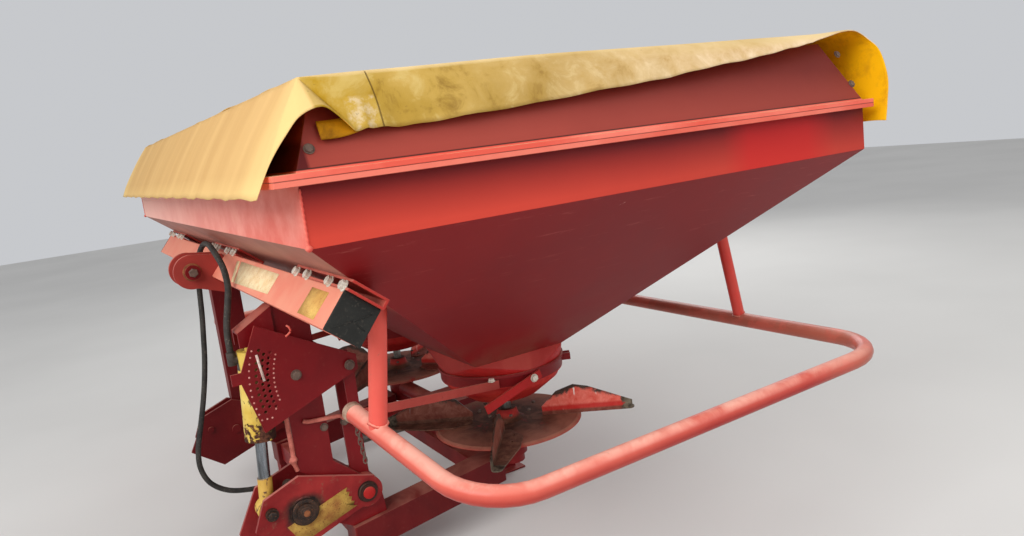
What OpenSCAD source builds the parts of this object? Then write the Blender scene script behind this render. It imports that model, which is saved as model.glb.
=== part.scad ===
// Tractor-mounted fertiliser spreader with two spinning discs.
// Axes: +X is the machine's left, -Y is the tractor's side, +Z is up.
// The origin is on the floor below the middle of the hopper.

/* [Hopper] */
// Width of the hopper across the machine
hopper_w = 2286; // [2000:2:2600]
// Length of the hopper, front to rear
hopper_l = 1428; // [1300:2:1600]
// Height of the upright band at the hopper's top
band_h = 102; // [70:1:140]
// Height of the band's lower edge above the floor
band_z = 1000; // [960:1:1060]
// Drop from the band to the outlets
cone_drop = 456; // [430:1:480]
// Thickness of the hopper's sheet
sheet_t = 3; // [2:0.5:5]
// Distance of each outlet from the middle of the machine
outlet_x = 416; // [380:1:460]
// Width of an outlet across the machine
outlet_w = 310; // [260:1:340]
// Length of an outlet, front to rear
outlet_l = 282; // [240:1:320]
// Place of the outlets' middle, front to rear
outlet_y = -22; // [-40:1:0]
// How far the lip stands out at the sides
lip_side = 25; // [10:1:40]
// How far the lip stands out at the front
lip_front = 45; // [20:1:60]
// How far the lip stands out at the rear
lip_rear = 8; // [4:1:20]
// Thickness of the lip, on the hopper and on the collar
lip_t = 10; // [6:1:14]

/* [Collar] */
// Height of the sloping collar above the lip
collar_h = 148; // [120:1:220]
// How far the collar leans in at its top
collar_lean = 68; // [40:1:100]
// Width of the fold along the collar's top
collar_fold = 22; // [12:1:40]

/* [Cover] */
// Thickness of the cover's cloth as a solid
cover_t = 4; // [3:0.5:6]
// Reach of the hanging front and rear flaps beyond the hopper
flap_reach = 81; // [75:1:110]
// Height of the front flap's lower edge above the floor
front_flap_z = 1090; // [1070:1:1120]
// Height of the rear flap's lower edge above the floor
rear_flap_z = 1062; // [1040:1:1100]
// Depth of the side skirt at the front
skirt_front = 118; // [80:1:140]
// Depth of the side skirt at the rear
skirt_rear = 8; // [5:1:40]
// How far the flaps stand out beyond the hopper's sides
flap_side = 30; // [10:1:60]

/* [Headstock] */
// Outside width of the square beam
beam_a = 78; // [70:1:90]
// Wall of the square beam
beam_t = 6; // [4:0.5:8]
// Length of the square beam
beam_l = 2126; // [1900:2:2200]
// Gap between the hopper's front slope and the beam
beam_gap = 22; // [16:1:30]
// Distance of the beam's middle down the slope from the band
beam_down = 150; // [140:1:165]
// Length of a bracket between the beam and the hopper
bracket_l = 340; // [200:2:400]
// Distance of the outer brackets' middles from the middle of the machine
bracket_x = 911; // [700:1:930]
// Thickness of an end cap's head
cap_t = 6; // [4:1:10]
// Distance of the top link's plates from the middle, to their inner faces
clevis_x = 38; // [30:1:45]
// Thickness of the top link's plates
clevis_t = 12; // [8:1:16]
// Radius of the plates' round ends
clevis_r = 49; // [40:1:55]
// Place of the top link pin, back from the posts' front faces
top_pin_y = -107; // [-115:1:-80]
// Height of the top link pin
top_pin_z = 874; // [840:1:890]
// Radius of the top link pin
top_pin_r = 12.7; // [9:0.1:16]
// Distance of the lower link pins from the middle
hitch_x = 408; // [390:1:420]
// Width of an upright post across the machine
post_w = 50; // [40:1:56]
// Depth of an upright post, front to rear
post_d = 92; // [80:1:100]
// Distance of the posts' front faces behind the hopper's front
post_y = 79; // [74:1:84]
// Lower end of the posts' straight part
post_z = 362; // [350:1:400]
// Side of the lower square beams
rail_a = 80; // [60:1:90]
// Height of the lower beams' underside at the front
rail_z = 86; // [60:1:90]
// Angle at which the lower beams rise to the rear
rail_rise = 6.5; // [4:0.5:8]
// Distance of each rear foot from the middle of the machine
rear_foot_x = 90; // [70:1:300]

/* [Lift arms] */
// Height of the lower link pins
link_z = 264; // [250:1:280]
// Place of the lower link pins, back from the posts' front faces
link_y = -6; // [-20:1:5]
// Radius of the lower link pins
link_r = 14.3; // [11:0.1:18]
// Gap between the two plates of an arm
arm_gap = 64; // [60:1:72]
// Thickness of an arm's plates
arm_t = 10; // [8:1:14]
// Place of the arms' pivot, back from the posts' front faces
pivot_y = 165; // [155:1:175]
// Height of the arms' pivot
pivot_z = 256; // [245:1:265]
// Radius of the pivot tubes
pivot_r = 23; // [18:1:26]
// Place of the rod eye on the arm, back from the posts' front faces
eye_y = -87; // [-95:1:-75]
// Height of the rod eye
eye_z = 285; // [275:1:295]
// Radius of the lift cylinder
barrel_r = 38; // [28:1:38]
// Radius of its rod
rod_r = 15; // [10:1:18]
// Place of the cylinder's top pin, back from the rod's eye
barrel_back = 36; // [20:1:40]
// Height of the cylinder's top pin
barrel_top_z = 732; // [720:1:745]
// Height of the cylinder's lower end
barrel_low_z = 470; // [460:1:520]

/* [Discs] */
// Radius of a disc
disc_r = 220; // [190:1:240]
// Height of the discs
disc_z = 313; // [300:1:330]
// Thickness of a disc
disc_t = 4; // [3:0.5:8]
// Depth of the lip round a disc
disc_lip = 10; // [6:1:16]
// Reach of a vane from the disc's middle
vane_reach = 378; // [340:1:400]
// Height of a vane
vane_h = 88; // [60:1:96]
// Distance of a vane's inner end from the disc's middle
vane_start = 105; // [60:1:120]
// Width of a vane's foot
vane_w = 62; // [50:1:80]
// Thickness of a vane
vane_t = 4; // [3:0.5:6]
// Radius of the housings under the discs
hub_r = 36; // [30:1:44]
// Height of the housings' undersides
hub_z = 181; // [170:1:200]
// Height of the drive shafts' middle
drive_z = 232; // [225:1:240]
// Radius of the agitator shafts
spindle_r = 14; // [10:1:18]
// Radius of the splined input stub
pto_r = 17.4; // [15:0.1:20]
// Front end of the input stub
pto_y = -330; // [-380:1:-300]
// Length of the stub's splined end
pto_l = 90; // [70:1:110]

/* [Metering] */
// Radius of the metering rings
ring_r = 180; // [165:1:190]
// Height of a metering ring
ring_h = 34; // [24:1:44]
// Height of the metering rings' upper edge
ring_z = 502; // [495:1:510]
// Height of the metering cups' floor
cup_z = 400; // [385:1:415]
// Radius of the metering cups' floor
cup_r = 105; // [90:1:130]

/* [Guard] */
// Radius of the guard's tube
guard_r = 21.2; // [18:0.1:26]
// Half width of the guard
guard_x = 1200; // [1150:1:1260]
// Distance of the guard's rear run inside the hopper's rear face
guard_inset = 16; // [-20:1:50]
// Height of the guard's rear and side runs
guard_z = 499; // [470:1:530]
// Bend radius of the guard's tube
guard_bend = 150; // [90:1:180]
// Distance of the guard's open ends from the middle
guard_end_x = 740; // [700:1:800]
// Place of the guard's open ends, back from the posts' front faces
guard_end_y = 69; // [20:1:110]
// Height of the guard's open ends
guard_end_z = 583; // [540:1:620]
// Place of the guard's front corners, back from the posts' front faces
guard_turn_y = 133; // [110:1:195]
// How far the guard's front corners lie below its side runs
guard_dip = 8; // [0:1:20]
// Distance of the guard's upright posts from the middle
guard_post_x = 850; // [800:1:900]
// Radius of the rear struts
strut_r = 17; // [14:0.5:21]
// Distance of the rear struts from the middle
strut_x = 705; // [640:1:760]

/* [Hidden] */
$fn = 48;

// Small gap between pieces that rest on each other but aren't joined
seat = 0.3;
// Running clearance round pins and shafts
run = 0.05;

outlet_z = band_z - cone_drop;
outlet_out = outlet_x + outlet_w / 2;
outlet_in = outlet_x - outlet_w / 2;
outlet_front = outlet_y - outlet_l / 2;
outlet_rear = outlet_y + outlet_l / 2;
ridge_z = outlet_z + outlet_in * cone_drop / (hopper_w / 2 - outlet_out);
lip_z = band_z + band_h;
collar_z = lip_z + 2 * lip_t;
collar_top = collar_z + collar_h;
lean_k = collar_lean / collar_h;
lean_angle = atan(lean_k);
front_slope = atan(cone_drop / (hopper_l / 2 + outlet_front));
rear_slope = atan(cone_drop / (hopper_l / 2 - outlet_rear));

// Unit vectors, as [y, z], down the front slope and square out of it
slope_u = [cos(front_slope), -sin(front_slope)];
slope_n = [-sin(front_slope), -cos(front_slope)];
beam_c = [-hopper_l / 2, band_z] + beam_down * slope_u + (beam_gap + beam_a / 2) * slope_n;

// The posts' front faces, and places given back from them as [y, z]
head_y = -hopper_l / 2 + post_y;
function from_posts(pts) = [for (p = pts) p + [head_y, 0]];
top_pin = [head_y + top_pin_y, top_pin_z];
link_pin = [head_y + link_y, link_z];
pivot = [head_y + pivot_y, pivot_z];
eye = [head_y + eye_y, eye_z];
boss = [head_y + 25, 626];
shaft_yz = [head_y + 160, 618];

// The lift cylinder's top pin, its stroke towards the rod's eye, and its hose port
barrel_pin = [eye.x + barrel_back, barrel_top_z];
barrel_pin_r = 10;
barrel_boss = 40;
stroke = unit(eye - barrel_pin);
stroke_l = norm(eye - barrel_pin);
barrel_l = (barrel_low_z - barrel_top_z) / stroke.y;
function on_stroke(d) = barrel_pin + d * stroke;
port_r = 11;
port = [barrel_pin.x - barrel_r - 16, barrel_pin.y - 50];
disc_y = 0;
shaft_r = 9;
member_y = -60;
member_h = 50;
member_top = drive_z - 55;
rail_front = head_y + 115;
rail_end = -48;
foot_y = head_y + 145;
hose_end = [-110, rail_front + 15, rail_z + 46];
arm_x = arm_gap / 2;
guard_rear = hopper_l / 2 - guard_inset;
guard_front = [guard_end_x, head_y + guard_end_y, guard_end_z];
guard_corner = [guard_x, head_y + guard_turn_y, guard_z - guard_dip];

// The setting lever's outer face and the quadrant's inner face
setting_x = hitch_x + 60;
quadrant_x = setting_x + 5;
// The flat bar from the setting lever to a lug on the ring, as [x, y]
link_bar_z = ring_z - 22;
link_rear = [outlet_x + 150, disc_y - 112];
link_front = [setting_x + 4, shaft_yz.x + 13];
link_bar_l = norm(link_rear - link_front);
link_bar_angle = atan((link_rear.x - link_front.x) / (link_rear.y - link_front.y));

// Height of the hopper's outer surface over a point
function front_z(y) = band_z - (y + hopper_l / 2) * tan(front_slope);
function rear_z(y) = band_z - (hopper_l / 2 - y) * tan(rear_slope);

function unit(v) = v / norm(v);

// The meeting point of two lines in a plane, each a point and a direction
function meet(p, d, q, e) =
    p + d * ((q.x - p.x) * e.y - (q.y - p.y) * e.x) / (d.x * e.y - d.y * e.x);

// An outline that runs anticlockwise, moved inwards by a wall's thickness
function inset(pts, t) = [
    for (i = [0:len(pts) - 1])
        let (
            a = pts[(i + len(pts) - 1) % len(pts)],
            b = pts[i],
            c = pts[(i + 1) % len(pts)],
            d = unit(b - a),
            e = unit(c - b)
        )
        meet(b + t * [-d.y, d.x], d, b + t * [-e.y, e.x], e)
];

// Outlines of the hopper, seen from the front and from the side, up to a given height,
// with its walls carried on below the outlets by drop
function hopper_front(top, drop = 0) =
    let (
        z = outlet_z - drop,
        out = outlet_out - drop * (hopper_w / 2 - outlet_out) / cone_drop,
        in = outlet_in + drop * outlet_in / (ridge_z - outlet_z)
    )
    [
        [-hopper_w / 2, top], [-hopper_w / 2, band_z], [-out, z], [-in, z], [0, ridge_z],
        [in, z], [out, z], [hopper_w / 2, band_z], [hopper_w / 2, top]
    ];
function hopper_side(top, drop = 0) =
    let (
        z = outlet_z - drop,
        front = outlet_front + drop * (hopper_l / 2 + outlet_front) / cone_drop,
        rear = outlet_rear - drop * (hopper_l / 2 - outlet_rear) / cone_drop
    )
    [
        [-hopper_l / 2, top], [-hopper_l / 2, band_z], [front, z],
        [rear, z], [hopper_l / 2, band_z], [hopper_l / 2, top]
    ];

// Outline of the collar over a half width, carried on past both ends by extra
function collar_outline(half, extra) = [
    [-(half + lean_k * extra), collar_z - extra],
    [half + lean_k * extra, collar_z - extra],
    [half - collar_lean - lean_k * extra, collar_top + extra],
    [-(half - collar_lean - lean_k * extra), collar_top + extra]
];

// A [y, z] outline carried along X, and an [x, z] outline carried along Y
module along_x(outline, length) {
    rotate([90, 0, 90]) linear_extrude(length, center = true) polygon(outline);
}
module along_y(outline, length) {
    rotate([90, 0, 0]) linear_extrude(length, center = true) polygon(outline);
}

module both_sides() {
    children();
    mirror([1, 0, 0]) children();
}

// A cylinder along X, centred on x, with its middle at [y, z]
module rod_x(x, yz, r, length) {
    translate([x, yz.x, yz.y]) rotate([0, 90, 0]) cylinder(r = r, h = length, center = true);
}

// A cylinder from one point to another
module rod_between(p, q, r) {
    v = q - p;
    translate(p)
        rotate([0, acos(v.z / norm(v)), atan2(v.y, v.x)])
            cylinder(r = r, h = norm(v));
}

// The frame of axes at beam_c, with its Y down the slope and its Z towards the hopper
module on_beam() {
    translate([0, beam_c.x, beam_c.y]) rotate([-front_slope, 0, 0]) children();
}

module ring_x(x, yz, r_out, r_in, length) {
    difference() {
        rod_x(x, yz, r_out, length);
        rod_x(x, yz, r_in, length + 2);
    }
}

// The hopper's full form, seen from outside and from inside
module hopper_form() {
    intersection() {
        along_y(hopper_front(lip_z), hopper_l + 2);
        along_x(hopper_side(lip_z), hopper_w + 2);
    }
}
// The room between the side sheets, and the room between the front and rear sheets
module between_sides() {
    along_y(inset(hopper_front(lip_z + 50, 10), sheet_t), hopper_l + 2);
}
module between_ends() {
    along_x(inset(hopper_side(lip_z + 50, 10), sheet_t), hopper_w + 2);
}

// Front and rear sheets, which reach from one side sheet to the other, with their lips
module hopper() {
    inner = hopper_w / 2 - sheet_t;
    color("firebrick") {
        difference() {
            intersection() {
                hopper_form();
                between_sides();
            }
            between_ends();
        }
        for (end = [[-hopper_l / 2 - lip_front, lip_front], [hopper_l / 2 - sheet_t, lip_rear]])
            translate([-inner, end[0], lip_z]) cube([2 * inner, end[1] + sheet_t, lip_t]);
    }
}

// Left and right sheets, which carry on past the front and rear ones, with their lips
module hopper_sides() {
    color("firebrick") both_sides() {
        difference() {
            intersection() {
                hopper_form();
                translate([outlet_x, -hopper_l, 0]) cube([hopper_w, 2 * hopper_l, 2 * band_z]);
            }
            between_sides();
        }
        translate([hopper_w / 2 - sheet_t, -hopper_l / 2 - lip_front, lip_z])
            cube([lip_side + sheet_t, hopper_l + lip_front + lip_rear, lip_t]);
    }
}

// The folded sheet between the two outlets
module hopper_ridge() {
    color("firebrick") difference() {
        intersection() {
            hopper_form();
            cube([2 * outlet_x, 2 * hopper_l, 4 * band_z], center = true);
        }
        between_sides();
    }
}

module collar() {
    color("firebrick") {
        difference() {
            union() {
                intersection() {
                    along_y(collar_outline(hopper_w / 2, 0), hopper_l + 2);
                    along_x(collar_outline(hopper_l / 2, 0), hopper_w + 2);
                }
                translate([-hopper_w / 2 - lip_side, -hopper_l / 2 - lip_front, lip_z + lip_t])
                    cube([hopper_w + 2 * lip_side, hopper_l + lip_front + lip_rear, lip_t]);
            }
            difference() {
                intersection() {
                    along_y(inset(collar_outline(hopper_w / 2, 50), sheet_t), hopper_l + 200);
                    along_x(inset(collar_outline(hopper_l / 2, 50), sheet_t), hopper_w + 200);
                }
                collar_fold_ring();
            }
        }
    }
}

// The fold along the collar's top edge, as a flat ring
module collar_fold_ring() {
    x = hopper_w / 2 - collar_lean;
    y = hopper_l / 2 - collar_lean;
    difference() {
        translate([-x, -y, collar_top - sheet_t]) cube([2 * x, 2 * y, sheet_t]);
        translate([-x + collar_fold, -y + collar_fold, collar_top - sheet_t - 1])
            cube([2 * (x - collar_fold), 2 * (y - collar_fold), sheet_t + 2]);
    }
}

// The cover, sewn from a top, a front and a rear flap and a skirt down each side
module cover() {
    z = collar_top + seat;
    front = -(hopper_l / 2 - collar_lean) - 22;
    rear = hopper_l / 2 - 2;
    side = hopper_w / 2 - collar_lean + 8;
    reach = hopper_l / 2 + flap_reach;
    width = hopper_w + 2 * flap_side;
    color("goldenrod") {
        along_x([[front, z], [rear, z], [rear, z + cover_t], [front, z + cover_t]], width);
        along_x([
            [front - seat, z + cover_t], [-reach, front_flap_z],
            [-reach + cover_t, front_flap_z], [front - seat, z - cover_t]
        ], width);
        along_x([
            [rear + seat, z - cover_t], [reach - cover_t, rear_flap_z],
            [reach, rear_flap_z], [rear + seat, z + cover_t]
        ], width);
        both_sides() translate([side, 0, z - seat - cover_t * sin(lean_angle)])
            rotate([0, -lean_angle, 0]) rotate([90, 0, 90])
                linear_extrude(cover_t) polygon([
                    [front, 0], [front, -skirt_front], [rear - 10, -skirt_rear], [rear - 10, 0]
                ]);
    }
}

module metering_collars() {
    color("firebrick") both_sides() difference() {
        hull() {
            translate([outlet_x, outlet_y, outlet_z - 1]) cube([outlet_w, outlet_l, 2], center = true);
            translate([outlet_x, disc_y, ring_z]) cylinder(r = ring_r, h = 2);
        }
        hull() {
            translate([outlet_x, outlet_y, outlet_z])
                cube([outlet_w - 4 * sheet_t, outlet_l - 4 * sheet_t, 2], center = true);
            translate([outlet_x, disc_y, ring_z - 1]) cylinder(r = ring_r - 2 * sheet_t, h = 2);
        }
    }
}

// One flanged ring under each outlet, with the clamp's two ears
module metering_rings() {
    color("red") both_sides() translate([outlet_x, disc_y, 0]) {
        rotate_extrude() polygon([
            [ring_r - 6, ring_z - ring_h], [ring_r + 1, ring_z - ring_h], [ring_r + 1, ring_z - 8],
            [ring_r + 6, ring_z - 8], [ring_r + 6, ring_z], [ring_r - 6, ring_z]
        ]);
        rotate([0, 0, 60]) for (y = [-14, 8])
            translate([ring_r, y, ring_z - 28]) cube([26, 6, 20]);
    }
}

module metering_cup() {
    z = ring_z - ring_h;
    difference() {
        rotate_extrude() polygon([
            [spindle_r + 5, cup_z], [cup_r, cup_z], [ring_r - 14, z - 22], [ring_r - 8, z - 4],
            [ring_r, z - 4], [ring_r, z], [ring_r - 12, z], [ring_r - 18, z - 21],
            [cup_r - 2, cup_z + 4], [spindle_r + 5, cup_z + 4]
        ]);
        for (a = [50:40:130])
            rotate([0, 0, a]) translate([cup_r * 0.64, 0, cup_z - 1]) cylinder(r = 22, h = 6);
    }
}
module metering_cup_left() {
    color("maroon") translate([outlet_x, disc_y, 0]) metering_cup();
}
module metering_cup_right() {
    color("maroon") mirror([1, 0, 0]) translate([outlet_x, disc_y, 0]) metering_cup();
}

// A shutter lever on the outer side of each ring, on a stud
module shutter_levers() {
    stud = [-8, ring_z - ring_h / 2 - 4];
    x = outlet_x + ring_r + 7;
    color("red") both_sides() {
        translate([x, stud.x, stud.y]) rotate([17, 0, 0]) translate([0, -165, -12]) cube([6, 190, 24]);
        difference() {
            rod_x(x - 8, stud, 9, 16);
            translate([outlet_x, disc_y, 0]) cylinder(r = ring_r + 1, h = collar_top);
        }
    }
}

// The long flat bars that turn the rings, each from a lug on its ring to the setting lever
module shutter_links() {
    color("indianred") both_sides() difference() {
        union() {
            translate([link_rear.x, link_rear.y, link_bar_z]) rotate([0, 0, -link_bar_angle])
                translate([0, -link_bar_l, -12]) cube([6, link_bar_l + 14, 24]);
            translate([link_rear.x - 40, link_rear.y - 10, link_bar_z - 10]) cube([42, 20, 6]);
        }
        translate([outlet_x, disc_y, 0]) cylinder(r = ring_r + 1, h = collar_top);
    }
}

module square_beam() {
    color("salmon") on_beam() difference() {
        cube([beam_l, beam_a, beam_a], center = true);
        cube([beam_l + 2, beam_a - 2 * beam_t, beam_a - 2 * beam_t], center = true);
    }
}

module beam_caps() {
    color([0.17, 0.17, 0.16]) both_sides() on_beam() {
        translate([beam_l / 2, -beam_a / 2, -beam_a / 2]) cube([cap_t, beam_a, beam_a]);
        translate([beam_l / 2 - 24, 0, 0])
            cube([48, beam_a - 2 * beam_t, beam_a - 2 * beam_t], center = true);
    }
}

// C-shaped brackets that bolt the beam to the hopper's front slope
module beam_brackets() {
    color("salmon") on_beam() for (x = [-bracket_x, 0, bracket_x])
        translate([x - bracket_l / 2, -beam_a / 2, beam_a / 2]) difference() {
            cube([bracket_l, beam_a, beam_gap - run]);
            translate([-1, -6, 5]) cube([bracket_l + 2, beam_a, beam_gap - 10]);
        }
}

module top_link_plates() {
    color("darkred") difference() {
        both_sides() translate([clevis_x + clevis_t / 2, 0, 0]) union() {
            rod_x(0, top_pin, clevis_r, clevis_t);
            along_x([
                top_pin + [6, 1 - clevis_r], beam_c - [10, beam_a * 0.8], beam_c,
                beam_c + [-16, beam_a * 0.68], top_pin + [6, clevis_r - 1]
            ], clevis_t);
        }
        on_beam() cube([beam_l, beam_a, beam_a], center = true);
        rod_x(0, top_pin, top_pin_r + run, 4 * clevis_x);
    }
}

module top_link_pin() {
    half = clevis_x + clevis_t;
    color("silver") {
        rod_x(0, top_pin, top_pin_r, 2 * half + 24);
        rod_x(half + 16, top_pin, top_pin_r + 8, 10);
    }
}

// Outline of a post's foot, down to the lower beam
function post_foot() = from_posts([
    [0, post_z + 1], [40, post_z - 30], [62, rail_z + 114],
    [118, rail_top(head_y + 118)], [215, rail_top(head_y + 215)], [207, pivot_z], [post_d, post_z + 1]
]);

// An upright: a box post with a narrower foot that carries the arm's pivot
module post() {
    difference() {
        union() {
            translate([hitch_x - post_w / 2, head_y, post_z])
                cube([post_w, post_d, beam_c.y - 8 - post_z]);
            translate([hitch_x, 0, 0]) along_x(post_foot(), post_w);
            rod_x(hitch_x, pivot, pivot_r + 19, post_w);
        }
        on_beam() cube([beam_l, beam_a, beam_a], center = true);
        rod_x(hitch_x, pivot, pivot_r, post_w + 2);
    }
}
module post_left() {
    color("firebrick") post();
}
module post_right() {
    color("firebrick") mirror([1, 0, 0]) post();
}

// Height of the lower beams' top over a point
function rail_top(y) = rail_z + rail_a / cos(rail_rise) + (y - rail_front) * tan(rail_rise);

module lower_beams() {
    color("red") both_sides() lower_beam();
}
module lower_beam() {
    translate([hitch_x, 0, 0]) along_x([
        [rail_front, rail_z], [rail_end, rail_top(rail_end) - rail_a / cos(rail_rise)],
        [rail_end, rail_top(rail_end)], [rail_front, rail_top(rail_front)]
    ], rail_a);
}

module cross_members() {
    span = 2 * (hitch_x - rail_a / 2);
    color("firebrick") {
        translate([0, rail_front + 45, rail_z + 46]) cube([span, 60, 60], center = true);
        translate([0, member_y, member_top - member_h / 2]) cube([span, 70, member_h], center = true);
        translate(hose_end + [0, 1, 0]) rotate([90, 0, 0]) cylinder(r = port_r, h = 15);
    }
}

// Upright flat bars from the pivots' bosses to the setting shaft
module side_bars() {
    color("firebrick") both_sides() difference() {
        translate([hitch_x, 0, 0]) along_x([
            pivot - [26, 0], pivot + [24, 0], shaft_yz + [23, 22], shaft_yz + [-23, 22]
        ], 10);
        rod_x(hitch_x, pivot, pivot_r + 19, 20);
        rod_x(hitch_x, shaft_yz, shaft_r, 20);
        translate([hitch_x, 0, 0]) along_x(post_foot(), post_w);
    }
}

module pivot_tubes() {
    color("indianred") both_sides()
        ring_x(hitch_x, pivot, pivot_r, pivot_r - 6, arm_gap + 2 * arm_t + 24);
}

// A channel that reaches forward from the left post, with the lift cylinder's top pin
module cylinder_channels() {
    tip = barrel_pin.x - 36;
    half = barrel_boss / 2 + 14;
    low = barrel_pin.y - 18;
    top = [barrel_pin.y + 20, barrel_pin.y + 70];
    color("firebrick") {
        difference() {
            translate([hitch_x, 0, 0]) along_x([
                [head_y, low], [tip, low], [tip, top[0]], [head_y, top[1]]
            ], 2 * half);
            translate([hitch_x, 0, 0]) along_x([
                [head_y + 1, low - 35], [tip - 1, low - 35], [tip - 1, top[0] - 5],
                [head_y + 1, top[1] - 5]
            ], 2 * half - 16);
            on_beam() cube([beam_l, beam_a, beam_a], center = true);
        }
        rod_x(hitch_x, barrel_pin, barrel_pin_r, 2 * half + 6);
    }
}

// The quadrant plate, with a stop at its front, its lower edge folded inwards and three
// arcs of setting holes round the shaft
module quadrant() {
    x = quadrant_x;
    color("firebrick") difference() {
        union() {
            translate([x + 3, 0, 0]) along_x(from_posts([
                [-53, 769], [-101, 664], [-126, 664], [-126, 636], [-105, 636], [-71, 503],
                [183, 600], [183, 640]
            ]), 6);
            translate([x - 10, 0, 0]) along_x(from_posts([
                [-71, 503], [125, 578], [125, 583], [-71, 508]
            ]), 22);
        }
        for (col = [-1:1], row = [0:9 + abs(col)])
            rod_x(x + 3, setting_hole(col, row), setting_r, 12);
        rod_x(x, shaft_yz, shaft_r + run, 60);
    }
}
setting_r = 4;
hole_step = 3.9;
function setting_hole(col, row) =
    let (a = 23 - hole_step * (row + (col == 0 ? 0.5 : 0)))
    shaft_yz + (217 - 13.6 * col) * [-cos(a), sin(a)];

// A spacer between the left post and the quadrant
module quadrant_boss() {
    color("darkred") rod_x((hitch_x + post_w / 2 + quadrant_x) / 2, boss, 14,
        quadrant_x - hitch_x - post_w / 2);
}

// The shaft across the machine that the setting levers turn with, and a lever at each end
module setting_shaft() {
    color("darkred") {
        rod_x((quadrant_x + 16 - setting_x) / 2, shaft_yz, shaft_r, quadrant_x + 16 + setting_x);
        both_sides() difference() {
            union() {
                translate([setting_x - 3, 0, 0]) along_x([
                    [shaft_yz.x - 14, link_bar_z - 14], [shaft_yz.x + 14, link_bar_z - 14],
                    [shaft_yz.x + 16, shaft_yz.y], [shaft_yz.x - 16, shaft_yz.y]
                ], 6);
                rod_x(setting_x - 3, shaft_yz, 18, 6);
            }
            rod_x(setting_x, shaft_yz, shaft_r, 40);
        }
    }
}

// The points of a bend at corner b, on the way from a to c
function bend_points(a, b, c, bend, n) =
    let (
        d = unit(b - a),
        e = unit(c - b),
        turn = acos(d * e),
        start = b - bend * tan(turn / 2) * d,
        out = unit(e - (e * d) * d)
    )
    [for (i = [0:n]) start + bend * (sin(turn * i / n) * d + (1 - cos(turn * i / n)) * out)];

function mirrored(p) = [-p.x, p.y, p.z];

// The guard: one tube round the discs, open at the front, with a bend at each corner
module guard_tube() {
    rear_corner = [guard_x, guard_rear, guard_z];
    left = concat(
        [guard_front],
        bend_points(guard_front, guard_corner, rear_corner, guard_bend, 8),
        bend_points(guard_corner, rear_corner, mirrored(rear_corner), guard_bend, 8)
    );
    right = [for (i = [len(left) - 1:-1:0]) mirrored(left[i])];
    color("salmon") sweep_tube(concat(left, right), guard_r, 24, [0, 0, 1]);
}

module guard_posts() {
    k = (guard_post_x - guard_front.x) / (guard_corner.x - guard_front.x);
    foot = guard_front + k * (guard_corner - guard_front);
    top_y = head_y + 130;
    color("red") both_sides() difference() {
        rod_between(foot, [guard_post_x, top_y, front_z(top_y) + 30], 20);
        hopper_form();
        rod_between(guard_front, guard_corner, guard_r);
    }
}

module rear_struts() {
    top_y = guard_rear - 89;
    color("red") both_sides() difference() {
        rod_between([strut_x, guard_rear, guard_z], [strut_x, top_y, rear_z(top_y) + 30], strut_r);
        hopper_form();
        rod_between([0, guard_rear, guard_z], [guard_x - guard_bend, guard_rear, guard_z], guard_r);
    }
}

module front_feet() {
    color("firebrick") both_sides() difference() {
        translate([hitch_x, foot_y, 0]) {
            translate([-25, -25, 5]) cube([50, 50, rail_z + 5]);
            translate([-50, -50, 0]) cube([100, 100, 6]);
        }
        lower_beam();
    }
}

module rear_feet() {
    y = member_y + 35;
    color("firebrick") both_sides() translate([rear_foot_x, 0, 0]) {
        translate([-25, y, member_top - member_h]) cube([50, 195, 50]);
        translate([-25, y + 145, 5]) cube([50, 50, member_top - member_h]);
        translate([-50, y + 120, 0]) cube([100, 100, 6]);
    }
}

// The gearbox, the cross tubes and the angle drives under the discs, as one casting
module drive_housing() {
    color("firebrick") difference() {
        union() {
            translate([0, -5, drive_z]) cube([170, 150, 110], center = true);
            rod_x(0, [disc_y, drive_z], 28, 2 * outlet_x);
            both_sides() translate([outlet_x, disc_y, 0]) {
                translate([0, 0, hub_z]) cylinder(r = hub_r, h = disc_z - 22 - hub_z);
                translate([0, 0, hub_z + 26]) cylinder(r = hub_r + 10, h = 60);
            }
        }
        translate([0, -46, drive_z]) rotate([90, 0, 0]) cylinder(r = pto_r + 3 + run, h = 60);
        both_sides() translate([outlet_x, disc_y, disc_z - 60])
            cylinder(r = spindle_r + run, h = 60);
    }
}

module input_stub() {
    color("silver") {
        translate([0, -50, drive_z]) rotate([90, 0, 0]) cylinder(r = pto_r + 3, h = -50 - pto_y - pto_l);
        translate([0, pto_y + pto_l, drive_z]) rotate([90, 0, 0]) cylinder(r = pto_r, h = pto_l);
    }
}

module disc() {
    rotate_extrude() polygon([
        [spindle_r, disc_z - disc_t], [disc_r - 12, disc_z - disc_t],
        [disc_r - disc_t, disc_z - disc_lip], [disc_r, disc_z - disc_lip + 1],
        [disc_r - 9, disc_z], [50, disc_z], [34, disc_z + 12], [28, disc_z + 34],
        [spindle_r, disc_z + 34]
    ]);
}
module disc_left() {
    color("rosybrown") translate([outlet_x, disc_y, 0]) disc();
}
module disc_right() {
    color("rosybrown") mirror([1, 0, 0]) translate([outlet_x, disc_y, 0]) disc();
}

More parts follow.
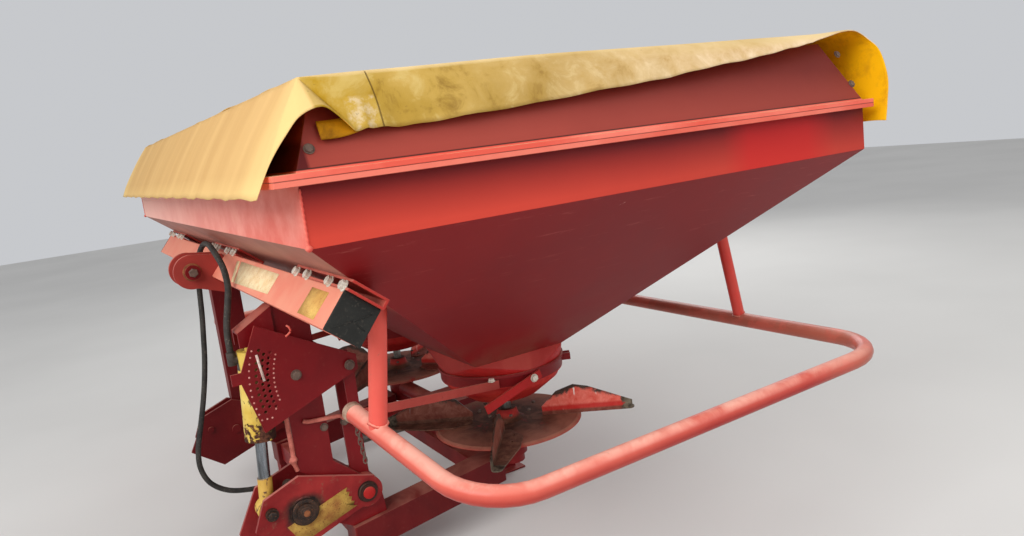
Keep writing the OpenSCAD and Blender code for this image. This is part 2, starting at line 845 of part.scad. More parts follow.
// A vane: a leaf-shaped foot and an upright blade that is highest near its middle
module vane() {
    tip = vane_w / 4;
    difference() {
        translate([0, 0, disc_z]) intersection() {
            union() {
                translate([vane_start, 0, 0]) cube([vane_reach - vane_start, vane_w, vane_t]);
                translate([vane_start, 0, 0]) cube([vane_reach - vane_start, vane_t, vane_h]);
            }
            linear_extrude(vane_h) union() {
                polygon([
                    [vane_start, 0], [vane_reach - tip, 0], [vane_reach - tip, 2 * tip],
                    [vane_start + 130, vane_w], [vane_start + 50, vane_w],
                    [vane_start, vane_w * 0.35]
                ]);
                translate([vane_reach - tip, tip]) circle(r = tip);
            }
            rotate([90, 0, 0]) translate([0, 0, -vane_w]) linear_extrude(vane_w) polygon([
                [vane_start, 0], [vane_reach, 0], [vane_reach, vane_h * 0.28],
                [vane_reach * 0.65, vane_h * 0.9], [vane_reach * 0.54, vane_h],
                [vane_reach * 0.4, vane_h * 0.8], [vane_start, vane_h * 0.3]
            ]);
        }
        for (x = [40, 90])
            translate([vane_start + x, vane_w * 0.55, disc_z - 1]) cylinder(r = 5, h = 6);
    }
}
module vanes() {
    for (a = [52, 142, 232, 322]) rotate([0, 0, a]) vane();
}
module vanes_left() {
    color("firebrick") translate([outlet_x, disc_y, 0]) vanes();
}
module vanes_right() {
    color("firebrick") mirror([1, 0, 0]) translate([outlet_x, disc_y, 0]) vanes();
}

module spindle() {
    translate([0, 0, disc_z - 55]) cylinder(r = spindle_r, h = 200);
}
module spindle_left() {
    color("dimgray") translate([outlet_x, disc_y, 0]) spindle();
}
module spindle_right() {
    color("dimgray") mirror([1, 0, 0]) translate([outlet_x, disc_y, 0]) spindle();
}

// A lower link's arm: an outer and an inner plate, with a boss at the link pin
module arm() {
    outer = from_posts([[-7, 358], [-100, 324], [-132, 248], [-12, 170], [155, 222], [190, 294]]);
    inner = from_posts([[-5, 368], [-102, 335], [-160, 224], [-65, 150], [155, 222], [190, 294]]);
    difference() {
        union() {
            translate([hitch_x + arm_x + arm_t / 2, 0, 0]) {
                along_x(outer, arm_t);
                rod_x(0, pivot, pivot_r + 19, arm_t);
            }
            translate([hitch_x - arm_x - arm_t / 2, 0, 0]) {
                along_x(inner, arm_t);
                rod_x(0, pivot, pivot_r + 19, arm_t);
            }
            rod_x(hitch_x + arm_x + arm_t + 3, link_pin, 37, 6);
        }
        rod_x(hitch_x, pivot, pivot_r + run, 200);
        rod_x(hitch_x, link_pin, link_r, 200);
        rod_x(hitch_x, eye, 10, 200);
    }
}
module arm_pins() {
    half = arm_x + arm_t;
    rod_x(hitch_x + 4, link_pin, link_r, 2 * half + 20);
    rod_x(hitch_x + half + 12, link_pin, 24, 12);
    rod_x(hitch_x, eye, 10, 2 * half + 16);
    rod_x(hitch_x + half + 6, eye, 16, 12);
}

// The left arm, which the lift cylinder moves
module arm_plates() {
    color("firebrick") arm();
}
module link_pins() {
    color("dimgray") arm_pins();
}

// The right arm, which is fast to its post
module right_arm() {
    color("firebrick") mirror([1, 0, 0]) union() {
        arm();
        arm_pins();
    }
}

// A cylinder between two [y, z] places above the left link pin
module on_hitch(p, q, r) {
    rod_between([hitch_x, p.x, p.y], [hitch_x, q.x, q.y], r);
}

// The lift cylinder, with an elbow for the hose
module lift_barrels() {
    color("khaki") difference() {
        union() {
            on_hitch(on_stroke(barrel_l), on_stroke(34), barrel_r);
            on_hitch(on_stroke(40), barrel_pin, barrel_boss / 2 - 2);
            rod_x(hitch_x, barrel_pin, barrel_pin_r + 10, barrel_boss);
            translate([hitch_x, port.x, port.y]) rotate([-90, 0, 0]) cylinder(r = port_r, h = 30);
            translate([hitch_x, port.x, port.y - port_r]) cylinder(r = port_r, h = 3 * port_r);
        }
        rod_x(hitch_x, barrel_pin, barrel_pin_r + run, 60);
        on_hitch(on_stroke(barrel_l + 1), on_stroke(60), rod_r + run);
    }
}

module lift_rods() {
    color("silver") difference() {
        union() {
            on_hitch(on_stroke(stroke_l - 65), on_stroke(80), rod_r);
            on_hitch(on_stroke(stroke_l - 10), on_stroke(stroke_l - 83), rod_r + 3);
            rod_x(hitch_x, eye, 27, 44);
        }
        rod_x(hitch_x, eye, 14.5, 60);
    }
}

// Route of the hydraulic hose, as round points
hose_r = 8;
hose_route = [
    [408, -740, 704.3], [408, -740, 722], [407, -739, 748], [404, -734, 780], [395, -723, 820],
    [375, -712, 855], [340, -706, 885], [290, -702, 908], [230, -700, 926], [165, -696, 936],
    [100, -690, 941], [40, -686, 943], [-20, -686, 940], [-72, -690, 922], [-100, -698, 888],
    [-109, -706, 840], [-110, -711, 780], [-110, -716, 720], [-110, -723, 660],
    [-110, -732, 590], [-110, -745, 520], [-110, -762, 450], [-110, -782, 380],
    [-110, -800, 315], [-110, -804, 255], [-110, -785, 200], [-110, -740, 160],
    [-110, -680, 140], [-110, -620, 133], [-110, -570, 132], [-110, -519.3, 132]
];

function cr(p0, p1, p2, p3, t) =
    0.5 * (2 * p1 + (p2 - p0) * t + (2 * p0 - 5 * p1 + 4 * p2 - p3) * t * t
    + (3 * p1 - p0 - 3 * p2 + p3) * t * t * t);
function curve(pts, n) = let (m = len(pts) - 1) [
    for (i = [0:m - 1], k = [0:n - 1])
        cr(pts[max(i - 1, 0)], pts[i], pts[i + 1], pts[min(i + 2, m)], k / n),
    pts[m]
];

// A round tube swept along points, as one closed polyhedron.
// No stretch of the path may run along the reference direction.
module sweep_tube(path, r, sides, reference) {
    m = len(path);
    rings = [
        for (i = [0:m - 1])
            let (
                t = unit(path[min(i + 1, m - 1)] - path[max(i - 1, 0)]),
                a = unit(cross(t, reference)),
                b = cross(t, a)
            )
            for (k = [0:sides - 1])
                path[i] + r * (cos(360 * k / sides) * a + sin(360 * k / sides) * b)
    ];
    walls = [
        for (i = [0:m - 2], k = [0:sides - 1])
            let (j = (k + 1) % sides)
            [i * sides + k, (i + 1) * sides + k, (i + 1) * sides + j, i * sides + j]
    ];
    ends = [
        [for (k = [0:sides - 1]) k],
        [for (k = [sides - 1:-1:0]) (m - 1) * sides + k]
    ];
    polyhedron(rings, concat(walls, ends));
}

module hydraulic_hose() {
    color([0.16, 0.16, 0.16]) sweep_tube(curve(hose_route, 2), hose_r, 8, [0.9, 0.3, 0.13]);
}

hopper();
hopper_sides();
hopper_ridge();
collar();
cover();
metering_collars();
metering_rings();
metering_cup_left();
metering_cup_right();
shutter_levers();
shutter_links();
square_beam();
beam_caps();
beam_brackets();
top_link_plates();
top_link_pin();
post_left();
post_right();
lower_beams();
cross_members();
side_bars();
pivot_tubes();
cylinder_channels();
quadrant();
quadrant_boss();
setting_shaft();
guard_tube();
guard_posts();
rear_struts();
front_feet();
rear_feet();
drive_housing();
input_stub();
disc_left();
disc_right();
vanes_left();
vanes_right();
spindle_left();
spindle_right();
arm_plates();
link_pins();
right_arm();
lift_barrels();
lift_rods();
hydraulic_hose();
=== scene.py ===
"""Finishes and small pieces of a tractor-mounted fertiliser spreader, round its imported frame."""

import bpy
import numpy as np
from mathutils import Matrix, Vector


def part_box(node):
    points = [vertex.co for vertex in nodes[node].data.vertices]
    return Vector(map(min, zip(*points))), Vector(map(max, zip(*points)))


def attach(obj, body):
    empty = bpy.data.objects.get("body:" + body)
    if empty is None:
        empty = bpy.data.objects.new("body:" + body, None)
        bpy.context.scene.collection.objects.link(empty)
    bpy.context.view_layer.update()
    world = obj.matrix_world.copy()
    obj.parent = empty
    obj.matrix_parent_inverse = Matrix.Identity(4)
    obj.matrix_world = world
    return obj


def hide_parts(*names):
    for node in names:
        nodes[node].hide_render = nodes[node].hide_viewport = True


MM = 0.001
# Places of the frame that finishes and small pieces are set by, in millimetres
DISC_X = 416.0
LINK_PIN = np.array([468.0, -641, 264])
EYE_PIN = np.array([462.0, -722, 285])
PIVOT = np.array([474.0, -470, 256])
QUADRANT_SHAFT = np.array([-475.0, 618])
GUARD_END = np.array([740.0, -566, 583])

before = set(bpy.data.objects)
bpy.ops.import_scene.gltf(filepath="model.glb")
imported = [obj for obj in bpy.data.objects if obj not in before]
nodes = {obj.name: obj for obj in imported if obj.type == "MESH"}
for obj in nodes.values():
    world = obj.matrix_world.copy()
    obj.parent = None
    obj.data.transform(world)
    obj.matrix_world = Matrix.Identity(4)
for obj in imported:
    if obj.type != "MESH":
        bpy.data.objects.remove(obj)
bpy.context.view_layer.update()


# Camera

# The photograph's viewpoint in millimetres, and the downward and inward directions of its picture
EYE = np.array([2352.0, -1055.0, 1137.0])
DOWNWARD = np.array([0.081, -0.190, -0.978])
FORWARD = np.array([-0.851, 0.498, -0.167])
FOCAL_PX = 769.142
PICTURE_W = 1024
SENSOR_MM = 36.0


def unit(v):
    """A vector, or rows of vectors, divided by their length."""
    v = np.asarray(v, float)
    return v / np.linalg.norm(v, axis=-1, keepdims=True)


def put(name, data):
    """A new object in the scene, at the origin."""
    made = bpy.data.objects.new(name, data)
    bpy.context.scene.collection.objects.link(made)
    return made


def aim(thing, place, back, above):
    """Moves a camera or a lamp to a place in metres and turns it. Its own axes are right, up and back,
    and up leans towards a direction above."""
    back = unit(back)
    right = unit(np.cross(above, back))
    turn = np.eye(4)
    turn[:3, :3] = np.column_stack([right, np.cross(back, right), back])
    turn[:3, 3] = place
    thing.matrix_world = Matrix(turn.tolist())


def make_camera():
    data = bpy.data.cameras.new("camera")
    data.sensor_width = SENSOR_MM
    data.lens = FOCAL_PX / PICTURE_W * SENSOR_MM
    data.clip_start = 0.05
    data.clip_end = 60
    camera = put("camera", data)
    aim(camera, EYE * MM, -FORWARD, -DOWNWARD)
    bpy.context.scene.camera = camera


make_camera()


# Surfaces as numpy arrays

def rings(path, along, radius, sides, reference):
    """Circles round the points of a path: point + radius times (cos a side + sin a up), with side and
    up square to the path and side square to a reference direction."""
    along = unit(along)
    side = unit(np.cross(along, np.asarray(reference, float)))
    up = np.cross(along, side)
    angle = np.linspace(0, 2 * np.pi, sides, endpoint=False)[None, :, None]
    radius = np.broadcast_to(np.asarray(radius, float), (len(path),))[:, None, None]
    return path[:, None] + radius * (np.cos(angle) * side[:, None] + np.sin(angle) * up[:, None])


class Form:
    """A mesh put together from grids and fans of points, in millimetres."""

    def __init__(self, name):
        self.name = name
        self.points = []
        self.faces = []
        self.count = 0

    def add(self, points, faces):
        self.faces.append(np.asarray(faces) + self.count)
        self.points.append(np.asarray(points, float).reshape(-1, 3))
        self.count += len(self.points[-1])

    def grid(self, points, closed=False, capped=False, flip=False):
        """Four-sided faces between neighbours of an (n, m, 3) array, round in m if closed, with flat
        ends if capped."""
        n, m = points.shape[:2]
        index = np.arange(n * m).reshape(n, m)
        across = np.roll(index, -1, 1) if closed else index[:, 1:]
        base = index if closed else index[:, :-1]
        quads = np.stack([base[:-1], across[:-1], across[1:], base[1:]], -1).reshape(-1, 4)
        if flip:
            quads = quads[:, ::-1]
        start = self.count
        self.add(points, quads)
        if capped:
            for ring, row in ((points[0], index[0]), (points[-1], index[-1][::-1])):
                self.points.append(ring.mean(0)[None])
                fan = np.stack([np.roll(row, -1), row, np.full(m, self.count - start)], -1)
                self.faces.append((fan[:, ::-1] if flip else fan) + start)
                self.count += 1
        return self

    def sweep(self, path, radius, sides, reference):
        """A circle carried along a path, with flat ends."""
        path = np.asarray(path, float)
        return self.grid(rings(path, np.gradient(path, axis=0), radius, sides, reference),
                         closed=True, capped=True)

    def loop(self, path, radius, sides, reference):
        """A circle carried round a closed path."""
        ring = rings(path, np.roll(path, -1, 0) - np.roll(path, 1, 0), radius, sides, reference)
        index = np.arange(ring.shape[0] * sides).reshape(-1, sides)
        after = np.roll(index, -1, 0)
        quads = np.stack([index, np.roll(index, -1, 1), np.roll(after, -1, 1), after], -1)
        self.add(ring, quads.reshape(-1, 4))

    def lathe(self, profile, centre, axis, sides, corners=0):
        """A profile of (radius, height) turned round an axis. With corners, the radius follows a
        polygon: r cos(pi / n) / cos(a mod (2 pi / n) - pi / n)."""
        profile = np.asarray(profile, float)
        a = np.linspace(0, 2 * np.pi, sides, endpoint=False)
        swell = np.ones(sides)
        if corners:
            part = np.pi / corners
            swell = np.cos(part) / np.cos(np.mod(a, 2 * part) - part)
        axis = unit(axis)
        side = unit(np.cross(axis, (0.31, 0.87, 0.11)))
        up = np.cross(axis, side)
        spoke = np.cos(a)[:, None] * side + np.sin(a)[:, None] * up
        radius = profile[:, :1] * swell
        height = profile[:, 1, None, None]
        ring = np.asarray(centre, float) + radius[..., None] * spoke + height * axis
        return self.grid(ring, closed=True, capped=True)

    def plate(self, outline, normal, thick):
        """A flat outline and its copy moved by thick times the normal, joined round their edges."""
        outline = np.asarray(outline, float)
        normal = unit(normal)
        turn = np.cross(outline - outline.mean(0), np.roll(outline, -1, 0) - outline.mean(0)).sum(0)
        if turn @ normal < 0:
            outline = outline[::-1]
        return self.grid(np.stack([outline, outline + thick * normal]), closed=True, capped=True)

    def piece(self, material, body="root", slot=None, smooth=True):
        """The mesh as an object at the origin that rides on a body."""
        mesh = bpy.data.meshes.new(self.name)
        faces = [face for block in self.faces for face in block.tolist()]
        mesh.from_pydata((np.concatenate(self.points) * MM).tolist(), [], faces)
        mesh.validate()
        if smooth:
            mesh.shade_smooth()
        mesh.materials.append(material)
        made = put(self.name, mesh)
        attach(made, body)
        return made


def weld(piece, distance):
    """Joins a mesh's points that lie within a distance, in metres."""
    piece.modifiers.new("weld", "WELD").merge_threshold = distance


def spline(points, steps):
    """A smooth line through points a, b, c, d and so on:
    half of 2b + (c - a)t + (2a - 5b + 4c - d)t2 + (3b - a - 3c + d)t3."""
    p = np.asarray(points, float)
    p = np.vstack([p[:1], p, p[-1:]])
    t = (np.arange(steps) / steps)[None, :, None]
    a, b, c, d = (p[i:len(p) - 3 + i, None] for i in range(4))
    line = 0.5 * (2 * b + (c - a) * t + (2 * a - 5 * b + 4 * c - d) * t**2
                  + (3 * b - a - 3 * c + d) * t**3)
    return np.vstack([line.reshape(-1, p.shape[1]), p[-1:]])


# Shader maths

def srgb(*rgb):
    """A colour in bytes, 0 to 255, as linear light: ((c + 0.055) / 1.055) to the 2.4, or c / 12.92
    near black."""
    c = np.array(rgb, float) / 255
    linear = np.where(c <= 0.04045, c / 12.92, ((c + 0.055) / 1.055) ** 2.4)
    return (*linear.tolist(), 1.0)


def joined(operation):
    """A method that puts a Math node between a shader value and another value or number."""
    return lambda value, other: value.maths(operation, value, other)


class Value:
    """A shader socket whose arithmetic adds Math nodes."""

    def __init__(self, finish, socket):
        self.finish = finish
        self.socket = socket

    def maths(self, operation, *values, clamp=False):
        node = self.finish.node("ShaderNodeMath", {"operation": operation, "use_clamp": clamp},
                                dict(enumerate(values)))
        return Value(self.finish, node.outputs[0])

    __add__ = __radd__ = joined("ADD")
    __sub__ = joined("SUBTRACT")
    __mul__ = joined("MULTIPLY")
    __pow__ = joined("POWER")
    larger = joined("MAXIMUM")
    smaller = joined("MINIMUM")

    def __rsub__(self, other):
        return self.maths("SUBTRACT", other, self)

    def __neg__(self):
        return self.maths("MULTIPLY", self, -1.0)

    def __abs__(self):
        return self.maths("ABSOLUTE", self)

    def clamp(self):
        return self.maths("ADD", self, 0.0, clamp=True)

    def over(self, low, high):
        """0 below low and 1 above high, straight between; reversed where high is the lower."""
        return self.maths("MULTIPLY", self - low, 1 / (high - low), clamp=True)


class Finish:
    """A material built from one Principled shader and nodes on Object coordinates."""

    def __init__(self, name):
        self.material = bpy.data.materials.new(name)
        self.material.use_nodes = True
        self.tree = self.material.node_tree
        self.tree.nodes.clear()
        self.shader = self.node("ShaderNodeBsdfPrincipled")
        self.node("ShaderNodeOutputMaterial", values={"Surface": self.shader.outputs[0]})
        place = self.node("ShaderNodeTexCoord")
        self.place = place.outputs["Object"]
        self.normal = place.outputs["Normal"]
        self.x, self.y, self.z = self.parts(self.place)
        self.nx, self.ny, self.nz = self.parts(self.normal)

    def node(self, kind, settings=None, values=None):
        """A node of a type, with its settings set first and then its sockets' values or links."""
        made = self.tree.nodes.new(kind)
        for key, value in (settings or {}).items():
            setattr(made, key, value)
        self.fill(made, values or {})
        return made

    def fill(self, node, values):
        """Sets each socket's value, or links it where the value is another node's socket."""
        for key, value in values.items():
            socket = node.inputs[key]
            if isinstance(value, Value):
                value = value.socket
            if isinstance(value, bpy.types.NodeSocket):
                self.tree.links.new(value, socket)
            else:
                socket.default_value = value

    def parts(self, vector):
        split = self.node("ShaderNodeSeparateXYZ", values={0: vector})
        return [Value(self, out) for out in split.outputs]

    def stretched(self, x, y, z):
        """Object coordinates scaled along each axis."""
        return self.node("ShaderNodeMapping", values={0: self.place, 3: (x, y, z)}).outputs[0]

    def noise(self, scale, detail=4.0, rough=0.55, at=None, twist=0.0):
        node = self.node("ShaderNodeTexNoise", values={
            "Vector": at or self.place, "Scale": scale, "Detail": detail, "Roughness": rough,
            "Distortion": twist})
        return Value(self, node.outputs[0])

    def mix(self, share, first, second):
        """The first colour where share is 0 and the second where it is 1, as sockets or in bytes."""
        first, second = (srgb(*c) if isinstance(c, tuple) else c for c in (first, second))
        return self.node("ShaderNodeMix", {"data_type": "RGBA"},
                         {0: share, 6: first, 7: second}).outputs[2]

    def distance(self, x, y, z, only):
        """Distance in metres from a point, along the axes that count."""
        total = ((self.x - x) ** 2.0) * only[0] + ((self.y - y) ** 2.0) * only[1] \
            + ((self.z - z) ** 2.0) * only[2]
        return total ** 0.5

    def from_spindle(self):
        """Distance in metres from the axis of the nearer disc."""
        level = (1, 1, 0)
        right = self.distance(-DISC_X * MM, 0.0, 0.0, only=level)
        return self.distance(DISC_X * MM, 0.0, 0.0, only=level).smaller(right)

    def done(self, colour, roughness, metallic=0.0, bump=None, depth=0.0004, coat=0.0, specular=0.2):
        values = {"Base Color": colour, "Roughness": roughness, "Metallic": metallic,
                  "Coat Weight": coat, "Specular IOR Level": specular}
        if bump is not None:
            values["Normal"] = self.node("ShaderNodeBump", values={
                "Height": bump, "Strength": 1.0, "Distance": depth}).outputs[0]
        self.fill(self.shader, values)
        return self.material


# Colours, as they look in plain light
DUST = (176, 132, 112)
BROWN_DUST = (120, 86, 68)
RUST = (84, 40, 24)
# Dark rust, also painted as shadow on the barrel behind the quadrant
DARK_RUST_AND_SHADOW = (46, 26, 20)


def enamel(name, base, faded, deep, fade_and_light_up=0.6, fade_and_light_front=0.3, dust=0.5):
    """Old red enamel: lighter where it faces up and forward, partly sun fading and partly painted light;
    dusty on ledges, with streaks and rusty chips."""
    f = Finish(name)
    cloud = f.noise(2.6, 5.0, 0.6)
    patch = f.noise(9.0, 4.0, 0.6, twist=0.6)
    grain = f.noise(90.0, 3.0, 0.6)
    streak = f.noise(1.0, 4.0, 0.6, at=f.stretched(26.0, 26.0, 2.2))
    upward = f.nz.clamp()
    forward = (-f.ny).clamp()
    # Lighter on faces turned up and forward: partly sun fading, partly painted light
    fade_and_light = (upward * fade_and_light_up + forward * fade_and_light_front + (cloud - 0.5) * 0.5
            + (streak - 0.5) * 0.25).clamp()
    colour = f.mix(fade_and_light, base, faded)
    colour = f.mix((patch.over(0.62, 0.35) * 0.35).clamp(), colour, deep)
    dirt = (upward.over(0.15, 0.9) * patch.over(0.3, 0.65) * dust
            + grain.over(0.60, 0.75) * 0.10 * dust).clamp()
    colour = f.mix(dirt, colour, DUST)
    crumbs = f.noise(46.0, 6.0, 0.7, twist=0.4)
    chip = (crumbs.over(0.68, 0.70) * 0.6 * patch.over(0.48, 0.6)).clamp()
    colour = f.mix(chip, colour, RUST)
    rough = 0.42 + dirt * 0.4 + fade_and_light * 0.2 + chip * 0.3
    return f.done(colour, rough.clamp(), bump=grain * 0.3 + patch * 0.5 - chip * 0.6)


def hopper_enamel():
    """The hopper's sheet: its band lighter towards its lower edge, partly sun fading and partly painted
    shade under the lip, and fresher in one patch; its lip painted bright, a painted highlight; its front
    chalky pink, partly painted light, and paler towards the far end as painted light; and its slopes
    painted dark as painted shade, with faint pale streaks."""
    f = Finish("hopper_enamel")
    cloud = f.noise(1.6, 5.0, 0.6)
    patch = f.noise(7.0, 5.0, 0.62, twist=0.4)
    grain = f.noise(70.0, 3.0, 0.6)
    level = abs(f.nz)
    upright = level.over(0.5, 0.3)
    below = (-f.nz).over(0.3, 0.5)
    front = (-f.ny).over(0.4, 0.7)
    forward = f.y.over(0.9, -0.6)
    # Lighter towards the band's lower edge: partly sun fading, partly painted shade under the lip
    band = f.z.over(1.095, 1.012) * (forward * 0.35 + 0.65)
    base = f.mix((band + (cloud - 0.5) * 0.4).clamp(), (112, 10, 14), (198, 62, 46))
    fresh = f.y.over(0.22, 0.30) * f.y.over(0.60, 0.50) * f.x.over(1.0, 1.1) * upright
    base = f.mix(fresh * 0.6, base, (196, 20, 22))
    chalk = f.noise(1.0, 5.0, 0.65, at=f.stretched(5.0, 5.0, 6.0))
    # Front faces chalky pink: partly faded paint, partly painted light on faces turned to the front
    pink = f.mix(chalk.over(0.42, 0.62), (230, 112, 96), (244, 152, 136))
    # Paler towards the far end of the front: painted light
    pink = f.mix(f.x.over(0.9, -1.1) * 0.8, pink, (255, 204, 188))
    colour = f.mix(front * upright, base, pink)
    # The lip's upright face painted bright: a painted highlight where it lies in shade
    lip = f.z.over(1.1005, 1.1015) * upright
    colour = f.mix(lip, colour, f.mix(cloud.over(0.4, 0.6), (212, 82, 64), (228, 118, 98)))
    # Downward-facing faces painted dark red: painted shade
    slope = f.mix((cloud.over(0.35, 0.7) * 0.6).clamp(), (118, 10, 16), (140, 24, 26))
    dashes = f.noise(1.0, 6.0, 0.72, at=f.stretched(70.0, 9.0, 70.0))
    streaks = (dashes.over(0.60, 0.74) * 0.34 * f.z.over(0.74, 0.98)).clamp()
    slope = f.mix(streaks, slope, (198, 118, 108))
    smear = f.noise(1.0, 4.0, 0.6, at=f.stretched(4.0, 4.0, 12.0))
    smears = (smear.over(0.52, 0.72) * 0.35 * f.z.over(0.85, 0.6)).clamp()
    slope = f.mix(smears, slope, (128, 52, 44))
    colour = f.mix(below, colour, slope)
    under_beam = f.mix(patch.over(0.35, 0.65), (184, 128, 112), (162, 112, 96))
    colour = f.mix((front * below * f.z.over(0.80, 0.9)).clamp(), colour, under_beam)
    dirt = (f.nz.over(0.4, 0.9) * patch.over(0.3, 0.6) * 0.9).clamp()
    colour = f.mix(dirt, colour, DUST)
    low = (f.z.over(0.66, 0.55) * patch.over(0.40, 0.62) * 0.45).clamp()
    colour = f.mix(low, colour, BROWN_DUST)
    crumbs = f.noise(34.0, 6.0, 0.7, twist=0.4)
    chip = (crumbs.over(0.70, 0.72) * patch.over(0.5, 0.62)).clamp()
    colour = f.mix(chip, colour, (214, 176, 160))
    return f.done(colour, (0.44 + dirt * 0.4 + cloud * 0.12).clamp(), bump=grain * 0.2 + patch * 0.6)


def collar_enamel():
    """The collar: browner and darker under the cover's edge, as painted shade, and darker to the rear;
    dark at its front end and in a line where its wall meets its flange, as painted shade; its flange as
    bright as the hopper's lip."""
    f = Finish("collar_enamel")
    cloud = f.noise(2.2, 5.0, 0.6)
    patch = f.noise(10.0, 5.0, 0.62, twist=0.4)
    grain = f.noise(80.0, 3.0, 0.6)
    wall = f.z.over(1.124, 1.126)
    # Darker higher up under the cover's edge: painted shade; darker to the rear as well
    high = (f.z.over(1.14, 1.24) + f.y.over(-0.2, 0.9) * 0.5).clamp()
    colour = f.mix(high, (152, 60, 48), (108, 30, 22))
    colour = f.mix((cloud.over(0.4, 0.65) * 0.45).clamp(), colour, (138, 50, 40))
    # Dark at the front end, under the flap's curl: painted shade
    colour = f.mix(f.y.over(-0.688, -0.694), colour, (84, 12, 10))
    # A dark line where the wall meets the flange: painted shade in the crease
    gap_shade = f.z.over(1.1225, 1.1235) * f.z.over(1.1285, 1.1265)
    colour = f.mix(gap_shade, colour, (48, 20, 14))
    rim = f.mix(cloud.over(0.4, 0.6), (220, 86, 68), (236, 124, 104))
    colour = f.mix(wall, rim, colour)
    joint = f.z.over(1.1105, 1.1115) * f.z.over(1.1135, 1.1125)
    colour = f.mix(joint * 0.7, colour, (96, 26, 20))
    ledge = (f.nz.over(0.5, 0.9) * patch.over(0.25, 0.6)).clamp()
    colour = f.mix(ledge, colour, (196, 158, 118))
    return f.done(colour, (0.5 + ledge * 0.3).clamp(), bump=grain * 0.25 + patch * 0.5)


def guard_enamel(name, shaded, sunny, bleach, age):
    """The guard: lighter along its top and front, partly sun fading and partly painted light; its
    underside darker as painted shade; rubbed to pale spots.
    """
    f = Finish(name)
    cloud = f.noise(5.0, 5.0, 0.62)
    grain = f.noise(110.0, 3.0, 0.6)
    # Darker underside, lighter top and front: painted shade and painted light, partly sun fading
    top = f.nz.over(-0.25, 0.85)
    forward = f.y.over(0.2, -0.5) * 0.35
    colour = f.mix((top * 0.75 + forward + (cloud - 0.5) * 0.6).clamp(), shaded, sunny)
    rubbed = f.noise(11.0, 5.0, 0.66, twist=0.8)
    rear = f.y.over(0.35, 0.65)
    colour = f.mix(rear * age, colour, (204, 112, 94))
    colour = f.mix((rear * rubbed.over(0.42, 0.56) * age).clamp(), colour, (156, 92, 74))
    spread = cloud.over(0.40, 0.56) * 0.8 + rubbed.over(0.5, 0.6) * 0.3 + forward
    bleached = (f.nz.over(0.35, 0.95) * spread * (1 - rear * 0.6)).clamp()
    colour = f.mix(bleached * bleach, colour, (240, 178, 158))
    scuffs = f.noise(24.0, 6.0, 0.72, twist=1.2)
    bare = (scuffs.over(0.64, 0.69) * cloud.over(0.50, 0.60) * f.nz.over(-0.1, 0.4)).clamp()
    colour = f.mix(bare, colour, (158, 128, 104))
    rusty = (scuffs.over(0.70, 0.72) * cloud.over(0.52, 0.58)).clamp()
    colour = f.mix(rusty, colour, RUST)
    rough = (0.36 + bleached * 0.3 + bare * 0.2).clamp()
    return f.done(colour, rough, bump=grain * 0.3 + scuffs * 0.5, coat=0.1)


def disc_enamel():
    """The discs: red under caked brown dust, paler towards the rim."""
    f = Finish("disc_enamel")
    cake = f.noise(16.0, 6.0, 0.66, twist=0.5)
    grain = f.noise(140.0, 3.0, 0.6)
    caked = (f.nz.over(0.2, 0.8) * cake.over(0.22, 0.42)).clamp()
    inner = f.from_spindle()
    colour = f.mix(cake.over(0.4, 0.7), (158, 20, 22), (182, 52, 40))
    crust = f.mix(cake.over(0.42, 0.68), (62, 34, 22), (98, 60, 44))
    crust = f.mix((inner.over(0.10, 0.20) * 0.85 + (cake - 0.5)).clamp(), crust, (150, 98, 80))
    colour = f.mix(caked, colour, crust)
    return f.done(colour, (0.55 + caked * 0.3).clamp(), bump=cake * 0.8 + grain * 0.4, depth=0.0008)


def vane_enamel():
    """The vanes: salmon red, the upper edge and the tip worn to bare steel, the foot caked with brown
    dust."""
    f = Finish("vane_enamel")
    chew = f.noise(38.0, 6.0, 0.7, twist=0.6)
    reach = f.from_spindle()
    crest = 0.400 - abs(reach - 0.22) * 0.30
    edge = (f.z - crest + (chew - 0.5) * 0.05).over(-0.014, -0.006)
    tip = (reach + (chew - 0.5) * 0.06).over(0.338, 0.345)
    worn = edge.larger(tip)
    foot = f.z.over(0.328, 0.322)
    colour = f.mix(chew.over(0.35, 0.65), (218, 82, 66), (234, 128, 112))
    colour = f.mix(f.z.over(0.342, 0.336) * 0.8, colour, (186, 22, 22))
    scratch = f.noise(1.0, 3.0, 0.6, at=f.stretched(60.0, 60.0, 6.0)).over(0.64, 0.66)
    colour = f.mix(scratch * (1 - foot), colour, (238, 214, 204))
    brown = f.mix(chew.over(0.4, 0.62), (84, 54, 42), (118, 80, 64))
    behind = f.y.over(0.03, -0.03) * 0.85
    colour = f.mix((foot * 0.85 + behind).clamp(), colour, brown)
    steel = f.mix(chew.over(0.4, 0.6), (128, 116, 98), (52, 42, 36))
    steel = f.mix(tip, f.mix(chew.over(0.45, 0.6), (56, 40, 32), (78, 60, 50)), steel)
    colour = f.mix(worn, colour, steel)
    return f.done(colour, (0.42 + foot * 0.3).clamp(), metallic=tip * 0.5, bump=chew)


